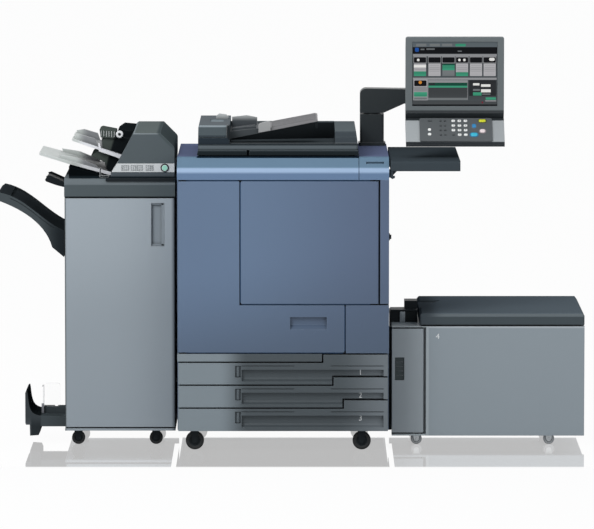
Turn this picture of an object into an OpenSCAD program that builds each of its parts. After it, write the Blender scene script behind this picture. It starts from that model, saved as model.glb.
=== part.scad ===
// Digital production printer line: a post inserter on a finisher, the print engine with its
// document feeder and operator panel, and a large-capacity feeder unit.
// Millimetres, +Z up, +Y to the rear. The origin is on the floor at the centre of the footprint.

/* [Line] */
// Gap between two neighbouring units
unit_gap = 10; // [6:1:30]
// How far the finisher and feeder unit stand behind the engine's front
setback = 150; // [80:5:220]
// Clearance round doors, drawers and lids
gap = 5.5; // [4:0.5:8]
// Radial clearance of hinge pins
pin_play = 0.1; // [0.05:0.01:0.2]
// Radius of the door hinge pins
pin_r = 3; // [2:0.5:4]
// How far a hinge pin reaches into its door
pin_depth = 14; // [8:1:20]

/* [Engine] */
// Width of the engine
engine_w = 760; // [700:5:840]
// Depth of the engine's housing
engine_d = 920; // [860:5:1000]
// Depth of the exhaust box on the rear
exhaust_d = 72; // [40:2:90]
// Height of the lowest edge of the engine's covers
engine_floor_z = 72; // [66:1:90]
// Height of the glass deck
deck_z = 1054; // [1000:2:1100]
// Depth of the deck, before the housing steps down
deck_d = 700; // [660:5:740]
// Height of the low rear section
rear_z = 1000; // [960:5:1020]
// Thickness of the side panels
side_t = 8; // [5:1:12]
// Height of the moulded front rim above the doors
rim_h = 76; // [70:1:90]
// Radius of the rim's rounded front edge
rim_r = 26; // [18:1:32]
// Thickness of the front doors
door_t = 24; // [22:1:30]
// Left edge of the toner door
toner_x = 229; // [200:1:260]
// Width of the fixed strip right of the toner door
strip_w = 37; // [30:1:60]
// Bottom of the toner door
toner_z = 532; // [500:1:560]
// Width of the fixed cover right of the front door
lower_cover_w = 160; // [120:1:200]
// Width of the front door's grip
grip_w = 132; // [110:1:150]
// Height of the front door's grip
grip_h = 45; // [36:1:55]
// Distance from the left side to the front door's grip
grip_x = 405; // [380:1:430]
// Height of the bottom of the front door's grip
grip_z = 439; // [420:1:450]
// Depth of the door grips
grip_deep = 17; // [12:1:18]
// Number of toner bottles
bottles = 4; // [1:1:4]
// Radius of a toner bottle's cap
bottle_r = 42; // [30:1:46]

/* [Paper trays] */
// Number of paper trays
trays = 3; // [3:1:3]
// Height from one tray to the next
tray_pitch = 83; // [80:1:88]
// Height of the step in the trays' fronts
tray_step = 30; // [28:1:34]
// Place of the step of the top tray
step_x = 522; // [480:1:540]
// Shift of the step from one tray to the next
step_shift = 37; // [20:1:40]
// Thickness of a tray's front
front_t = 24; // [22:1:30]
// Left end of the scooped grip
scoop_x = 231; // [200:1:250]
// Distance from the scooped grip to the engine's right side
scoop_end = 19; // [14:1:40]
// Width of the lever in the middle of the scooped grip
lever_w = 132; // [100:1:160]
// Depth of a tray's box
tray_d = 610; // [560:5:640]
// Height of a tray's box
tray_h = 44; // [38:1:44]
// Wall of a tray's box
tray_wall = 3; // [2:0.5:4]
// Width of a tray's rail
rail_w = 14; // [10:1:18]
// Clear width between a tray's paper guides
guides_w = 480; // [440:2:520]

/* [Castors] */
// Radius of the engine's wheels
engine_wheel_r = 33; // [28:0.5:35]
// Radius of the finisher's wheels
finisher_wheel_r = 24; // [20:0.5:25]
// Radius of the feeder unit's wheels
feeder_wheel_r = 20; // [16:0.5:22]
// Width of a wheel
wheel_w = 22; // [16:1:26]

/* [Document feeder] */
// Width of the document feeder
adf_w = 575; // [540:5:590]
// Depth of the document feeder
adf_d = 530; // [500:5:560]
// Distance from the engine's front to the document feeder
adf_y = 90; // [80:1:110]
// Height of the document feeder's low base
adf_base_h = 38; // [34:1:44]
// Height of the feeder head above the deck
adf_head_h = 112; // [100:1:124]
// Width of the feeder head
adf_head_w = 113; // [100:1:125]
// Height of the right-hand rest above the deck
adf_rest_h = 91; // [80:1:98]
// Width of the right-hand rest
adf_rest_w = 82; // [70:1:90]
// Depth of the sloping document tray
originals_d = 300; // [260:5:330]

/* [Operator panel] */
// Height of the arm post's joint
post_z = 1175; // [1150:1:1190]
// Width of the arm post
post_w = 88; // [76:1:92]
// Depth of the arm post
post_d = 76; // [64:1:90]
// Height of the swivelling arm
arm_h = 90; // [80:1:100]
// Width of the monitor
monitor_w = 356; // [340:1:380]
// Height of the monitor
monitor_h = 296; // [280:1:310]
// Depth of the monitor's housing
monitor_t = 52; // [40:1:60]
// Width of the touch screen
screen_w = 308; // [290:1:310]
// Height of the touch screen
screen_h = 233; // [220:1:236]
// Height of the monitor's lower edge
monitor_z = 1180; // [1170:1:1200]
// Width of the key panel
key_panel_w = 262; // [240:1:280]
// Width of the working table
table_w = 250; // [220:1:270]
// Depth of the working table
table_d = 660; // [600:5:680]
// Thickness of the working table
table_t = 36; // [28:1:40]
// Height of the working table's top
table_z = 1044; // [1030:1:1050]

/* [Finisher] */
// Width of the finisher
finisher_w = 400; // [380:2:430]
// Depth of the finisher
finisher_d = 620; // [600:5:660]
// Height of the lowest edge of the finisher
finisher_floor_z = 54; // [54:1:70]
// Height of the bottom of the finisher's lid
lid_z = 904; // [880:2:920]
// Height of the finisher's lid
lid_h = 67; // [60:1:74]
// Thickness of the finisher's door
finisher_door_t = 22; // [20:1:26]
// Width of the finisher door's grip
finisher_grip_w = 45; // [38:1:52]
// Height of the finisher door's grip
finisher_grip_h = 154; // [130:1:170]
// Distance that the output tray stands out
tray_reach = 250; // [240:1:270]
// Width of the output tray across the paper
shift_tray_w = 400; // [360:5:440]
// Width of the booklet tray across the paper
booklet_w = 250; // [230:5:280]
// Depth of the post inserter
inserter_d = 580; // [540:5:600]
// Width of the inserter's trays
feed_w = 330; // [300:5:360]

/* [Feeder unit] */
// Width of the feeder unit
feeder_w = 700; // [680:5:760]
// Depth of the feeder unit
feeder_d = 600; // [560:5:640]
// Height of the lowest edge of the feeder unit
feeder_floor_z = 36; // [34:1:40]
// Height of the feeder unit's housing
feeder_top_z = 434; // [420:2:450]
// Height of the feeder unit's lid
feeder_lid_h = 42; // [36:1:48]
// Width of the feeder unit's side door
side_door_w = 118; // [110:1:124]
// Left edge of the feeder unit's lid
feeder_lid_x = 105; // [100:1:110]
// Length of the paper bin
bin_l = 500; // [490:1:520]
// Width of the paper bin
bin_w = 340; // [330:1:360]
// Depth of the paper bin
bin_deep = 320; // [280:5:330]

/* [Hidden] */
$fn = 48;
eps = 0.01;
// Slack of pieces that are seated on each other.
seat = 0.3;
chamfer = 4;
total_w = tray_reach + finisher_w + engine_w + feeder_w + 2 * unit_gap;
total_d = engine_d + exhaust_d;
finisher_x = tray_reach - total_w / 2;
engine_x = finisher_x + finisher_w + unit_gap;
feeder_x = engine_x + engine_w + unit_gap;
front_y = -total_d / 2;

// Colours of the covers.
blue = "#5d7290";
pale_grey = "#8f979e";
tray_grey = "#7c8487";
dark = "#4a5254";
black = "#23282a";
steel = "#8d9092";
silver = "#b4b8ba";

// Levels and places shared by neighbouring pieces.
tray_top_z = engine_floor_z + trays * tray_pitch + tray_step;
door_z = tray_top_z + gap;
rim_z = deck_z - rim_h;
door_top_z = rim_z - gap;
toner_x2 = engine_w - strip_w;
door_x2 = engine_w - lower_cover_w;
split_x = engine_w - 107;
split_gap = 2;
inner_y = door_t + 10;
inner_t = 36;
core_y = inner_y + inner_t;
core_z = tray_top_z + 4;
chassis_z = engine_floor_z + 6;
chassis_t = 12;
pin_in = 6;
door_edge = gap / 2;
front_pin_x = door_edge + pin_in;
toner_pin_x = toner_x2 - pin_in;
finisher_sole_t = 8;
finisher_door_z = finisher_floor_z + finisher_sole_t + gap;
finisher_door_top = lid_z - gap;
feeder_sole_t = 6;
body_z = feeder_floor_z + 14;
side_door_z = feeder_floor_z + feeder_sole_t + gap;
head_t = 3;
side_door_top = feeder_top_z - head_t - gap;
side_pin_x = side_door_w - pin_in;
post_x = engine_w - 98;
post_y = 600;
adf_x = post_x - 13 - adf_w;
adf_z = deck_z + gap;
barrel_r = 6;
barrel_back = 12;
hinge_w = 40;
adf_hinge = [adf_y + adf_d + barrel_back, adf_z + 14];
adf_hinge_x = [adf_x + 60, adf_x + adf_w - 100];
lid_hinge = [feeder_d + barrel_back, feeder_top_z + gap + barrel_r];
lid_hinge_x = [feeder_w * 0.26, feeder_w * 0.83];

// Frames of the three units: x from the unit's left side, y from its front, z from the floor.
module at_engine() translate([engine_x, front_y, 0]) children();
module at_finisher() translate([finisher_x, front_y + setback, 0]) children();
module at_feeder() translate([feeder_x, front_y + setback, 0]) children();

// Extrudes a (y, z) outline along x, or an (x, z) outline along y.
module along_x(length) rotate([90, 0, 90]) linear_extrude(length) children();
module along_y(length) translate([0, length, 0]) rotate([90, 0, 0]) linear_extrude(length) children();

// A cylinder along x or along y, from the origin.
module rod_x(length, r) rotate([0, 90, 0]) cylinder(h = length, r = r);
module rod_y(length, r) rotate([-90, 0, 0]) cylinder(h = length, r = r);

// A rectangle with round corners, from its low corner.
module round_rect(w, h, r) {
    translate([r, 0]) square([w - 2 * r, h]);
    translate([0, r]) square([w, h - 2 * r]);
    for (x = [r, w - r], y = [r, h - r]) translate([x, y]) circle(r);
}

// Points of a cubic curve through four control points.
function cubic(a, b, c, d, n) = [for (i = [0 : n]) let (t = i / n, s = 1 - t)
    s * s * s * a + 3 * s * s * t * b + 3 * s * t * t * c + t * t * t * d];

// Points of an arc about c, from angle a to angle b.
function arc(c, r, a, b, n = 8) = [for (i = [0 : n]) let (t = a + (b - a) * i / n)
    c + r * [cos(t), sin(t)]];

// Lowest level of a tray's front, counted from the top tray.
function tray_z(i) = engine_floor_z + (trays - i) * tray_pitch;
// Place of the step in the top edge of tray i.
function step_at(i) = step_x + (i - 1) * step_shift;

/* ---------- hinges ---------- */

// A door's plan: round about its pin on the hinge side, chamfered inside at the free edge.
// It runs from x = 0 at the hinge to x = w; thick is its depth.
module door_plan(w, thick) {
    translate([pin_in, pin_in]) circle(pin_in);
    polygon([[pin_in, 0], [w - 1, 0], [w, 1], [w, thick - chamfer], [w - chamfer, thick],
        [pin_in, thick], [0, thick - 2 * chamfer], [0, pin_in]]);
}

// A door leaf from its hinge edge at x0, towards the right (side = 1) or the left (side = -1).
module door_leaf(x0, side, w, thick, z, top) translate([x0, 0, z]) linear_extrude(top - z)
    scale([side, 1]) door_plan(w, thick);

// Upright bores for the hinge pins in a door that spans from z to top.
module pin_bores(x, z, top) {
    for (level = [z - eps, top - pin_depth])
        translate([x, pin_in, level]) cylinder(h = pin_depth + eps, r = pin_r + pin_play);
}

// The two pins that carry a door, fixed above and below it.
module pin_pair(x, z, top) {
    for (level = [z - gap, top - pin_depth + 1])
        translate([x, pin_in, level]) cylinder(h = gap + pin_depth - 1, r = pin_r);
}

// A horizontal barrel along x with its bore, w long, from x = 0.
module barrel(w) difference() {
    rod_x(w, barrel_r);
    translate([-eps, 0, 0]) rod_x(w + 2 * eps, pin_r + pin_play);
}

// The fixed half of such a hinge: two ears, down to foot below the axis, and the pin.
ear_t = 5;
module hinge_ears(w, foot) {
    for (x = [-ear_t - seat, w + seat]) translate([x, 0, 0]) {
        rod_x(ear_t, barrel_r);
        translate([0, -barrel_r, -foot]) cube([ear_t, 2 * barrel_r, foot]);
    }
    translate([-ear_t - seat, 0, 0]) rod_x(w + 2 * (ear_t + seat), pin_r);
}

// How far the feeder lid's ears reach down the housing's back.
ear_foot = 30;
module door_pins() color(steel) {
    at_engine() {
        pin_pair(front_pin_x, door_z, door_top_z);
        pin_pair(toner_pin_x, toner_z, door_top_z);
        for (x = adf_hinge_x) translate([x, adf_hinge[0], adf_hinge[1]])
            hinge_ears(hinge_w, adf_hinge[1] - deck_z);
    }
    at_finisher() pin_pair(front_pin_x, finisher_door_z, finisher_door_top);
    at_feeder() {
        pin_pair(side_pin_x, side_door_z, side_door_top);
        for (x = lid_hinge_x) translate([x, lid_hinge[0], lid_hinge[1]]) {
            hinge_ears(hinge_w, ear_foot);
            translate([-ear_t - seat, -barrel_back, -ear_foot])
                cube([hinge_w + 2 * (ear_t + seat), barrel_back, 10]);
        }
    }
}

/* ---------- print engine: housing ---------- */

// Floor plate of the engine, on which the core and the side panels stand.
module engine_chassis() color(black) at_engine()
    translate([side_t, front_t + 10, chassis_z])
        cube([engine_w - 2 * side_t, engine_d - side_t - front_t - 10, chassis_t]);

// Outline of the housing's side: it steps down behind the deck.
module side_outline(front) polygon([[front, engine_floor_z], [engine_d - side_t, engine_floor_z],
    [engine_d - side_t, rear_z], [deck_d, rear_z], [deck_d, rim_z], [front, rim_z]]);

// Side panels with a field of vent slots and a carrying recess low at the back.
vents = 9;
vent_pitch = 20;
module engine_side_panels() color(blue) at_engine()
    for (side = [0, 1]) translate([side * (engine_w - side_t), 0, 0]) difference() {
        along_x(side_t) side_outline(inner_y);
        for (k = [0 : vents - 1])
            translate([side * (side_t - 3) - eps, 560, 700 + k * vent_pitch])
                cube([3 + 2 * eps, 260, vent_pitch / 2]);
        translate([side * (side_t - 5) - eps, 640, 300]) cube([5 + 2 * eps, 130, 40]);
    }

// Rear cover with the low rear top, the exhaust box with its outlets, and the mains inlet.
top_plate_t = 5;
module engine_rear_cover() color(tray_grey) at_engine() difference() {
    union() {
        translate([0, engine_d - side_t, engine_floor_z])
            cube([engine_w, side_t, rear_z + top_plate_t - engine_floor_z]);
        translate([0, deck_d + seat, rear_z])
            cube([engine_w, engine_d - side_t - deck_d, top_plate_t]);
        translate([90, engine_d - eps, 420]) along_x(engine_w - 180)
            polygon([[0, 0], [exhaust_d, 40], [exhaust_d, 430], [0, 470]]);
    }
    for (x = [140 : 96 : engine_w - 190], k = [0 : 7])
        translate([x, engine_d + exhaust_d - 8, 500 + k * 34]) cube([60, 8 + eps, 18]);
    translate([110, engine_d - 6, 170]) cube([90, 6 + eps, 60]);
    for (k = [0 : 5]) translate([engine_w - 300, engine_d - 4, 190 + k * 22])
        cube([190, 4 + eps, 10]);
}

// Closed body of the print engine, over and behind the trays' cavity.
module engine_core() color(dark) at_engine() translate([side_t, 0, 0])
    along_x(engine_w - 2 * side_t) polygon([[core_y, core_z], [deck_d, core_z],
        [deck_d, chassis_z + chassis_t], [engine_d - side_t, chassis_z + chassis_t],
        [engine_d - side_t, rear_z], [deck_d, rear_z], [deck_d, rim_z], [core_y, rim_z]]);

// Bay of the toner bottles and of the levers in the inner cover behind the doors.
bay_x = toner_x + 26;
bay_w = toner_x2 - toner_x - 60;
bay_z = toner_z + 150;
bay_h = 120;
bay_deep = 24;
lever_bay_deep = 14;
module engine_inner_cover() color(dark) at_engine() difference() {
    translate([side_t, inner_y, core_z])
        cube([engine_w - 2 * side_t, inner_t, rim_z - core_z]);
    translate([bay_x, inner_y - eps, bay_z]) cube([bay_w, bay_deep + eps, bay_h]);
    translate([bay_x, inner_y - eps, toner_z + 36]) cube([bay_w, 10, 70]);
    translate([bay_x, inner_y - eps, bay_z + bay_h + 40]) cube([bay_w, 10, 70]);
    translate([44, inner_y - eps, 420]) cube([140, lever_bay_deep + eps, 480]);
    translate([230, inner_y - eps, 400]) cube([340, 14, 90]);
}

// Caps of the toner bottles in their bay, each with a bar to turn it by, and two levers.
module toner_bottles() color(black) at_engine() {
    pitch = bay_w / bottles;
    for (k = [0 : bottles - 1])
        translate([bay_x + (k + 0.5) * pitch, inner_y + 6, bay_z + bay_h / 2]) {
            rod_y(bay_deep - 6, bottle_r);
            translate([0, -3, 0]) rod_y(4, bottle_r - 8);
            translate([-bottle_r * 0.6, -6, -5]) cube([bottle_r * 1.2, 4, 10]);
        }
    for (z = [520, 760]) translate([114, inner_y, z]) {
        rod_y(lever_bay_deep, 30);
        translate([-7, -4, -24]) cube([14, 5, 76]);
    }
}

// Fixed blue covers: the strip right of the toner door and the panel under it.
module engine_fixed_covers() color(blue) at_engine() {
    translate([toner_x2 + gap, 0, toner_z])
        cube([engine_w - toner_x2 - gap, inner_y, rim_z - toner_z]);
    translate([door_x2 + gap, 0, tray_top_z + gap / 2])
        cube([engine_w - door_x2 - gap, inner_y, toner_z - gap - tray_top_z - gap / 2]);
}

// Fixed grey strip left of the top tray's raised part.
module tray_head_strip() color(tray_grey) at_engine()
    translate([0, 0, tray_top_z - tray_step + gap / 2])
        cube([step_x - gap / 2, inner_y, tray_step - gap / 2]);

// Outline of the moulded rim over the doors: upright, a round nose, then a slope that is
// tangent to the nose and ends at the deck.
slope_end = [60, deck_z - 2];
nose = [rim_r, rim_z + rim_r - 2];
slope_v = slope_end - nose;
nose_turn = atan2(slope_v[1], slope_v[0]) + acos(rim_r / norm(slope_v));
module rim_outline(back) polygon(concat([[back, rim_z], [back, deck_z], [66, deck_z], slope_end],
    arc(nose, rim_r, nose_turn, 180, 10), [[0, rim_z]]));

glass_y = adf_y + 14;
glass_w = split_x - split_gap - adf_x - 14;
glass_d = 440;
glass_drop = 6;
module engine_top_cover() color(blue) at_engine() difference() {
    along_x(split_x - split_gap) rim_outline(deck_d);
    translate([adf_x, glass_y, deck_z - glass_drop]) cube([glass_w, glass_d, glass_drop + eps]);
}

// Cover of the panel's side, with the slot in its slope.
module engine_top_right_cover() color(blue) at_engine() difference() {
    translate([split_x, 0, 0]) along_x(engine_w - split_x) rim_outline(deck_d);
    translate([split_x + 25, 14, rim_z + 55]) cube([64, 30, 7]);
}

module platen_glass() color("#2d3a40") at_engine()
    translate([adf_x, glass_y, deck_z - glass_drop]) cube([glass_w, glass_d, glass_drop - 1]);

/* ---------- print engine: doors and trays ---------- */

// Pocket of a grip: its mouth is smaller than the hollow behind the upper lip.
module grip_pocket(w, h, deep) {
    lip = 7;
    along_x(w) polygon([[-1, 0], [2, 0], [deep, h * 0.35], [deep, h + lip], [deep - 7, h + lip],
        [deep - 7, h], [-1, h]]);
}

module front_door() color(blue) at_engine() difference() {
    union() {
        door_leaf(door_edge, 1, toner_x - gap - door_edge, door_t, door_z, door_top_z);
        door_leaf(door_edge, 1, door_x2 - door_edge, door_t, door_z, toner_z - gap);
    }
    pin_bores(front_pin_x, door_z, door_top_z);
    translate([grip_x, 0, grip_z]) grip_pocket(grip_w, grip_h, grip_deep);
}

module toner_door() color(blue) at_engine() difference() {
    door_leaf(toner_x2, -1, toner_x2 - toner_x, door_t, toner_z, door_top_z);
    pin_bores(toner_pin_x, toner_z, door_top_z);
}

// Outline of a tray's front, stepped where its neighbours step.
tray_inset = 3;
module tray_outline(i) {
    low = tray_z(i) + (i < trays ? gap / 2 : 0);
    high = tray_z(i) + tray_pitch - gap / 2;
    right = engine_w - tray_inset;
    lower_step = step_at(i + 1) - gap / 2;
    upper_step = step_at(i) + gap / 2;
    raised = [[right, high + tray_step], [upper_step, high + tray_step], [upper_step, high],
        [tray_inset, high]];
    polygon(concat(i < trays
        ? [[tray_inset, low], [lower_step, low], [lower_step, low + tray_step],
            [right, low + tray_step]]
        : [[tray_inset, low], [right, low]], raised));
}

// Scooped grip of a tray's front: a sloping lip below, a deep back, a hollow behind the bar.
scoop_w = engine_w - scoop_x - scoop_end;
scoop_low = 13;
scoop_high = 56;
scoop_deep = 17;
module tray_scoop() along_x(scoop_w) polygon([[-1, scoop_low], [1, scoop_low],
    [scoop_deep - 3, scoop_low + 7], [scoop_deep, scoop_low + 13], [scoop_deep, scoop_high - 4],
    [scoop_deep - 3, scoop_high + 8], [7, scoop_high + 8], [7, scoop_high], [-1, scoop_high]]);

// The round boss at the scoop's left end stands in a shallow pocket.
boss_r = 6.5;
boss_z = 31;
boss_h = 36;
bar_groove_z = 68;
bar_groove_h = 3;
module tray_front(i) color(tray_grey) at_engine() {
    boss_x = scoop_x - 2 * boss_r;
    difference() {
        along_y(front_t) tray_outline(i);
        translate([scoop_x, 0, tray_z(i)]) tray_scoop();
        for (x = [0, (scoop_w + lever_w) / 2]) translate([scoop_x + x, -1, tray_z(i) + bar_groove_z])
            cube([(scoop_w - lever_w) / 2, 6, bar_groove_h]);
        translate([boss_x - boss_r - 4, -1, tray_z(i) + boss_z - 3])
            cube([2 * boss_r + 8, boss_r + 2, boss_h + 6]);
    }
    translate([boss_x, boss_r + 1, tray_z(i) + boss_z]) cylinder(h = boss_h, r = boss_r);
}

// A tray's box clears the raised front of the tray below it.
box_lift = tray_step + gap / 2 + 0.75;
guide_t = 3;
guide_y = 150;
guide_l = 280;
rail_h = 10;
// A tray's box with its flanges, which run on the rails, and its paper guides.
module tray_box(i) color(steel) at_engine() {
    x0 = side_t + rail_w + gap;
    w = engine_w - 2 * x0;
    translate([x0, front_t, tray_z(i) + box_lift]) {
        difference() {
            cube([w, tray_d, tray_h]);
            translate([tray_wall, tray_wall, tray_wall])
                cube([w - 2 * tray_wall, tray_d - 2 * tray_wall, tray_h]);
        }
        for (x = [(w - guides_w) / 2 - guide_t, (w + guides_w) / 2]) translate([x, guide_y, 1])
            cube([guide_t, guide_l, tray_h - 8]);
        for (x = [-rail_w, w - eps]) translate([x, 0, tray_h - tray_wall])
            cube([rail_w + eps, tray_d, tray_wall]);
    }
}

// Rails on the side panels; the flanges lie just above them.
module tray_rails() color(steel) at_engine()
    for (i = [1 : trays], x = [side_t, engine_w - side_t - rail_w])
        translate([x, inner_y, tray_z(i) + box_lift + tray_h - tray_wall - rail_h - seat])
            cube([rail_w, tray_d, rail_h]);

// Plates that dock the finisher and the feeder unit, and the latch knob on the right side.
knob_z = 768;
module side_fittings() color(black) at_engine() {
    for (y = [260, 560]) {
        for (z = [180, 380]) translate([-unit_gap, y, z]) cube([unit_gap, 90, 40]);
        translate([engine_w, y, 180]) cube([unit_gap + 3, 90, 40]);
    }
    translate([engine_w, 60, knob_z]) {
        rod_x(4, 13);
        translate([3, 0, 0]) rod_x(6, 8);
    }
}

/* ---------- castors ---------- */

// Places of a unit's four castors: two distances from its left side, and its depth.
function castor_spots(xs, d) = [for (x = xs, y = [50, d - 90]) [x, y]];
engine_castors = castor_spots([62, engine_w - 97], engine_d);
finisher_castors = castor_spots([47, finisher_w - 71], finisher_d);
feeder_castors = castor_spots([93, feeder_w - 126], feeder_d);
axle_r = 4;
leg_t = 3;

// A castor turned to roll along x: its plate, two legs with round ends, and the axle.
module castor_fork(r, top) {
    half = wheel_w / 2 + 1;
    for (y = [-half - leg_t, half]) translate([0, y, 0]) along_y(leg_t) {
        translate([0, r]) circle(9);
        polygon([[-9, r], [9, r], [16, top], [-16, top]]);
    }
    translate([-20, -half - leg_t, top - leg_t]) cube([40, 2 * (half + leg_t), leg_t]);
    translate([0, -half - leg_t - 1, r]) rod_y(2 * (half + leg_t + 1), axle_r);
}

// A wheel with a round-shouldered tread and a recessed disc on either side.
module castor_wheel(r) translate([0, wheel_w / 2, r]) rotate([90, 0, 0]) rotate_extrude()
    polygon([[axle_r + 0.05, 0], [9, 0], [9, 3], [r - 9, 3], [r - 7, 0], [r - 3, 0], [r - 0.8, 1],
        [r, 4], [r, wheel_w - 4], [r - 0.8, wheel_w - 1], [r - 3, wheel_w], [r - 7, wheel_w],
        [r - 9, wheel_w - 3], [9, wheel_w - 3], [9, wheel_w], [axle_r + 0.05, wheel_w]]);

module castor_forks() color(black) {
    at_engine() for (p = engine_castors) translate([p.x, p.y, 0])
        castor_fork(engine_wheel_r, chassis_z);
    at_finisher() for (p = finisher_castors) translate([p.x, p.y, 0])
        castor_fork(finisher_wheel_r, finisher_floor_z);
}

module castor_wheels() color(black) {
    at_engine() for (p = engine_castors) translate([p.x, p.y, 0]) castor_wheel(engine_wheel_r);
    at_finisher() for (p = finisher_castors) translate([p.x, p.y, 0])
        castor_wheel(finisher_wheel_r);
}

module feeder_castor_forks() color(silver) at_feeder()
    for (p = feeder_castors) translate([p.x, p.y, 0]) castor_fork(feeder_wheel_r, body_z);

module feeder_castor_wheels() color(silver) at_feeder()
    for (p = feeder_castors) translate([p.x, p.y, 0]) castor_wheel(feeder_wheel_r);

/* ---------- document feeder ---------- */

// Measured inside the document feeder's own frame: x and y from its corner, z from its underside.
module at_adf() at_engine() translate([adf_x, adf_y, adf_z]) children();
adf_flare = 4;
adf_lip_z = 20;
adf_lip_r = 10;
head_h = adf_head_h - gap;
rest_h = adf_rest_h - gap;
rest_x = adf_w - adf_rest_w;
well_y = 24;
well_d = adf_d - 60;
well_floor = [18, 24];
notch_x = 175;

// Front outline of the head or the rest: an upright foot, a face leaning back and a flat top.
module top_outline(height, crease) polygon([[0, adf_base_h - eps], [0, crease], [3, crease + 2],
    [7, height - 4], [12, height], [adf_d - 32, height], [adf_d - 20, height - 10],
    [adf_d - 20, adf_base_h - eps]]);

module feeder_base() color(dark) {
    at_adf() difference() {
        union() {
            // Platen cover, wider at its foot, with a groove above it and the lip.
            along_y(adf_d) polygon([[-adf_flare, 0], [adf_w + adf_flare, 0],
                [adf_w, adf_lip_z - 2], [0, adf_lip_z - 2]]);
            translate([4, 4, adf_lip_z - 3]) cube([adf_w - 8, adf_d - 8, 4]);
            translate([0, 0, adf_lip_z]) linear_extrude(adf_base_h - adf_lip_z)
                round_rect(adf_w, adf_d, adf_lip_r);
            // Right-hand rest, its side leaning in, and the wall at the back of the well.
            translate([0, 10, 0]) intersection() {
                along_x(adf_w) top_outline(rest_h, adf_base_h + 26);
                along_y(adf_d) polygon([[rest_x, 0], [adf_w, 0], [adf_w, adf_base_h],
                    [adf_w - 8, rest_h], [rest_x, rest_h]]);
            }
            translate([adf_head_w, adf_d - 36, adf_base_h - eps])
                cube([rest_x - adf_head_w + eps, 26, rest_h - adf_base_h]);
            // Raised line along the well's front edge.
            translate([adf_head_w, well_y - 8, adf_base_h - eps])
                cube([rest_x - adf_head_w + eps, 8, 5]);
            // Pressure plate above the glass.
            translate([20, 20, seat - gap]) cube([adf_w - 40, glass_d - 20, gap]);
        }
        translate([0, well_y, 0]) along_y(well_d) polygon([[adf_head_w, well_floor[0]],
            [rest_x, well_floor[1]], [rest_x, rest_h + 1], [adf_head_w, rest_h + 1]]);
        translate([adf_head_w, 10, adf_base_h - 3]) cube([rest_x - adf_head_w, 6, 4]);
        // Notch to lift the feeder by.
        translate([notch_x, -1, -eps]) cube([10, 14, adf_lip_z - 2]);
    }
    at_engine() for (x = adf_hinge_x) {
        translate([x, adf_y + adf_d - 1, adf_hinge[1]])
            cube([hinge_w, barrel_back - pin_r, barrel_r]);
        translate([x, adf_hinge[0], adf_hinge[1]]) barrel(hinge_w);
    }
}

// Feeder head with its cover's seam and the catch on its top.
module feeder_head() color(dark) at_adf() difference() {
    translate([0, 10, 0]) intersection() {
        translate([0, 0, eps]) along_x(adf_head_w) top_outline(head_h, adf_base_h + 26);
        along_y(adf_d) polygon([[0, adf_base_h], [adf_head_w, adf_base_h], [adf_head_w, head_h + 1],
            [3, head_h + 1], [1, adf_base_h + 60]]);
    }
    translate([-1, 8, adf_base_h + 24]) cube([adf_head_w + 2, 6, 2.5]);
    translate([40, 200, head_h - 4]) cube([50, 120, 5]);
}

// Sloping tray for the originals: a smooth part at the head, a ribbed part rising to the
// right, and cheeks along its front and back.
tray_rise = [[0.3, 74], [147, 90], [317, 122]];

// Height of the document tray's lower slope at a distance x from the feeder head.
function on_tray(x) = tray_rise[0][1] + (x - tray_rise[0][0])
    * (tray_rise[1][1] - tray_rise[0][1]) / (tray_rise[1][0] - tray_rise[0][0]);
rib_pitch = 30;
module document_tray() color("#6d7173") at_adf() translate([adf_head_w, 110, 0]) {
    along_y(originals_d) polygon([tray_rise[0], tray_rise[1], tray_rise[2], [317, 114],
        [147, 80], [0.3, 62]]);
    for (y = [0, originals_d - 10]) translate([0, y, 0]) along_y(10)
        polygon([[0.3, 78], [0.3, 50.5], [105, 71], [147, 80.5], [160, 86], [147, 92], [60, 85]]);
    for (y = [rib_pitch / 2 : rib_pitch : originals_d - 10]) translate([0, y, 0]) along_y(8)
        polygon([[150, 88], [311, 118.5], [311, 124], [150, 93.5]]);
}

// Side guides of the originals, the front one low and the rear one high, the grey slide on the
// tray's front edge and the white flag on the head.
guide_feet = [6, 98];
module document_guides() color(silver) at_adf() {
    for (side = [[150, 12, 10], [330, 40, 28]]) translate([adf_head_w, side[0], 0]) along_y(5)
        polygon([for (x = guide_feet) [x, on_tray(x)], [guide_feet[1], on_tray(guide_feet[1]) + side[2]],
            [60, on_tray(60) + side[1]], [guide_feet[0], on_tray(guide_feet[0]) + side[1]]]);
    for (y = [155, 295]) translate([adf_head_w, y, 0]) along_y(35)
        polygon([[10, on_tray(10)], [90, on_tray(90)], [90, on_tray(90) + 3],
            [10, on_tray(10) + 3]]);
    translate([adf_head_w + 104, 94, 0]) along_y(16)
        polygon([[0, 74], [43, 82], [43, 112], [36, 116], [6, 108], [0, 102]]);
    translate([adf_head_w - 52, 330, head_h]) along_y(8)
        polygon([[0, 0], [43, 0], [46, 8], [36, 17], [12, 20], [0, 12]]);
}

/* ---------- operator panel and table ---------- */

arm_x = post_x + post_w / 2;
arm_y = post_y + post_d / 2;
arm_r = 22;
arm_rise = 34;
spigot_r = 18;
spigot_h = 50;
monitor_x = engine_w + 63;
monitor_y = 250;
tilt_x = monitor_x + monitor_w / 2;
tilt_y = monitor_y + monitor_t + 20;
tilt_z = post_z + 53;
tilt_r = 8;
tilt_ear_t = 12;
knuckle_w = 60;
knuckle_r = 16;
boom_z = 40;

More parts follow.
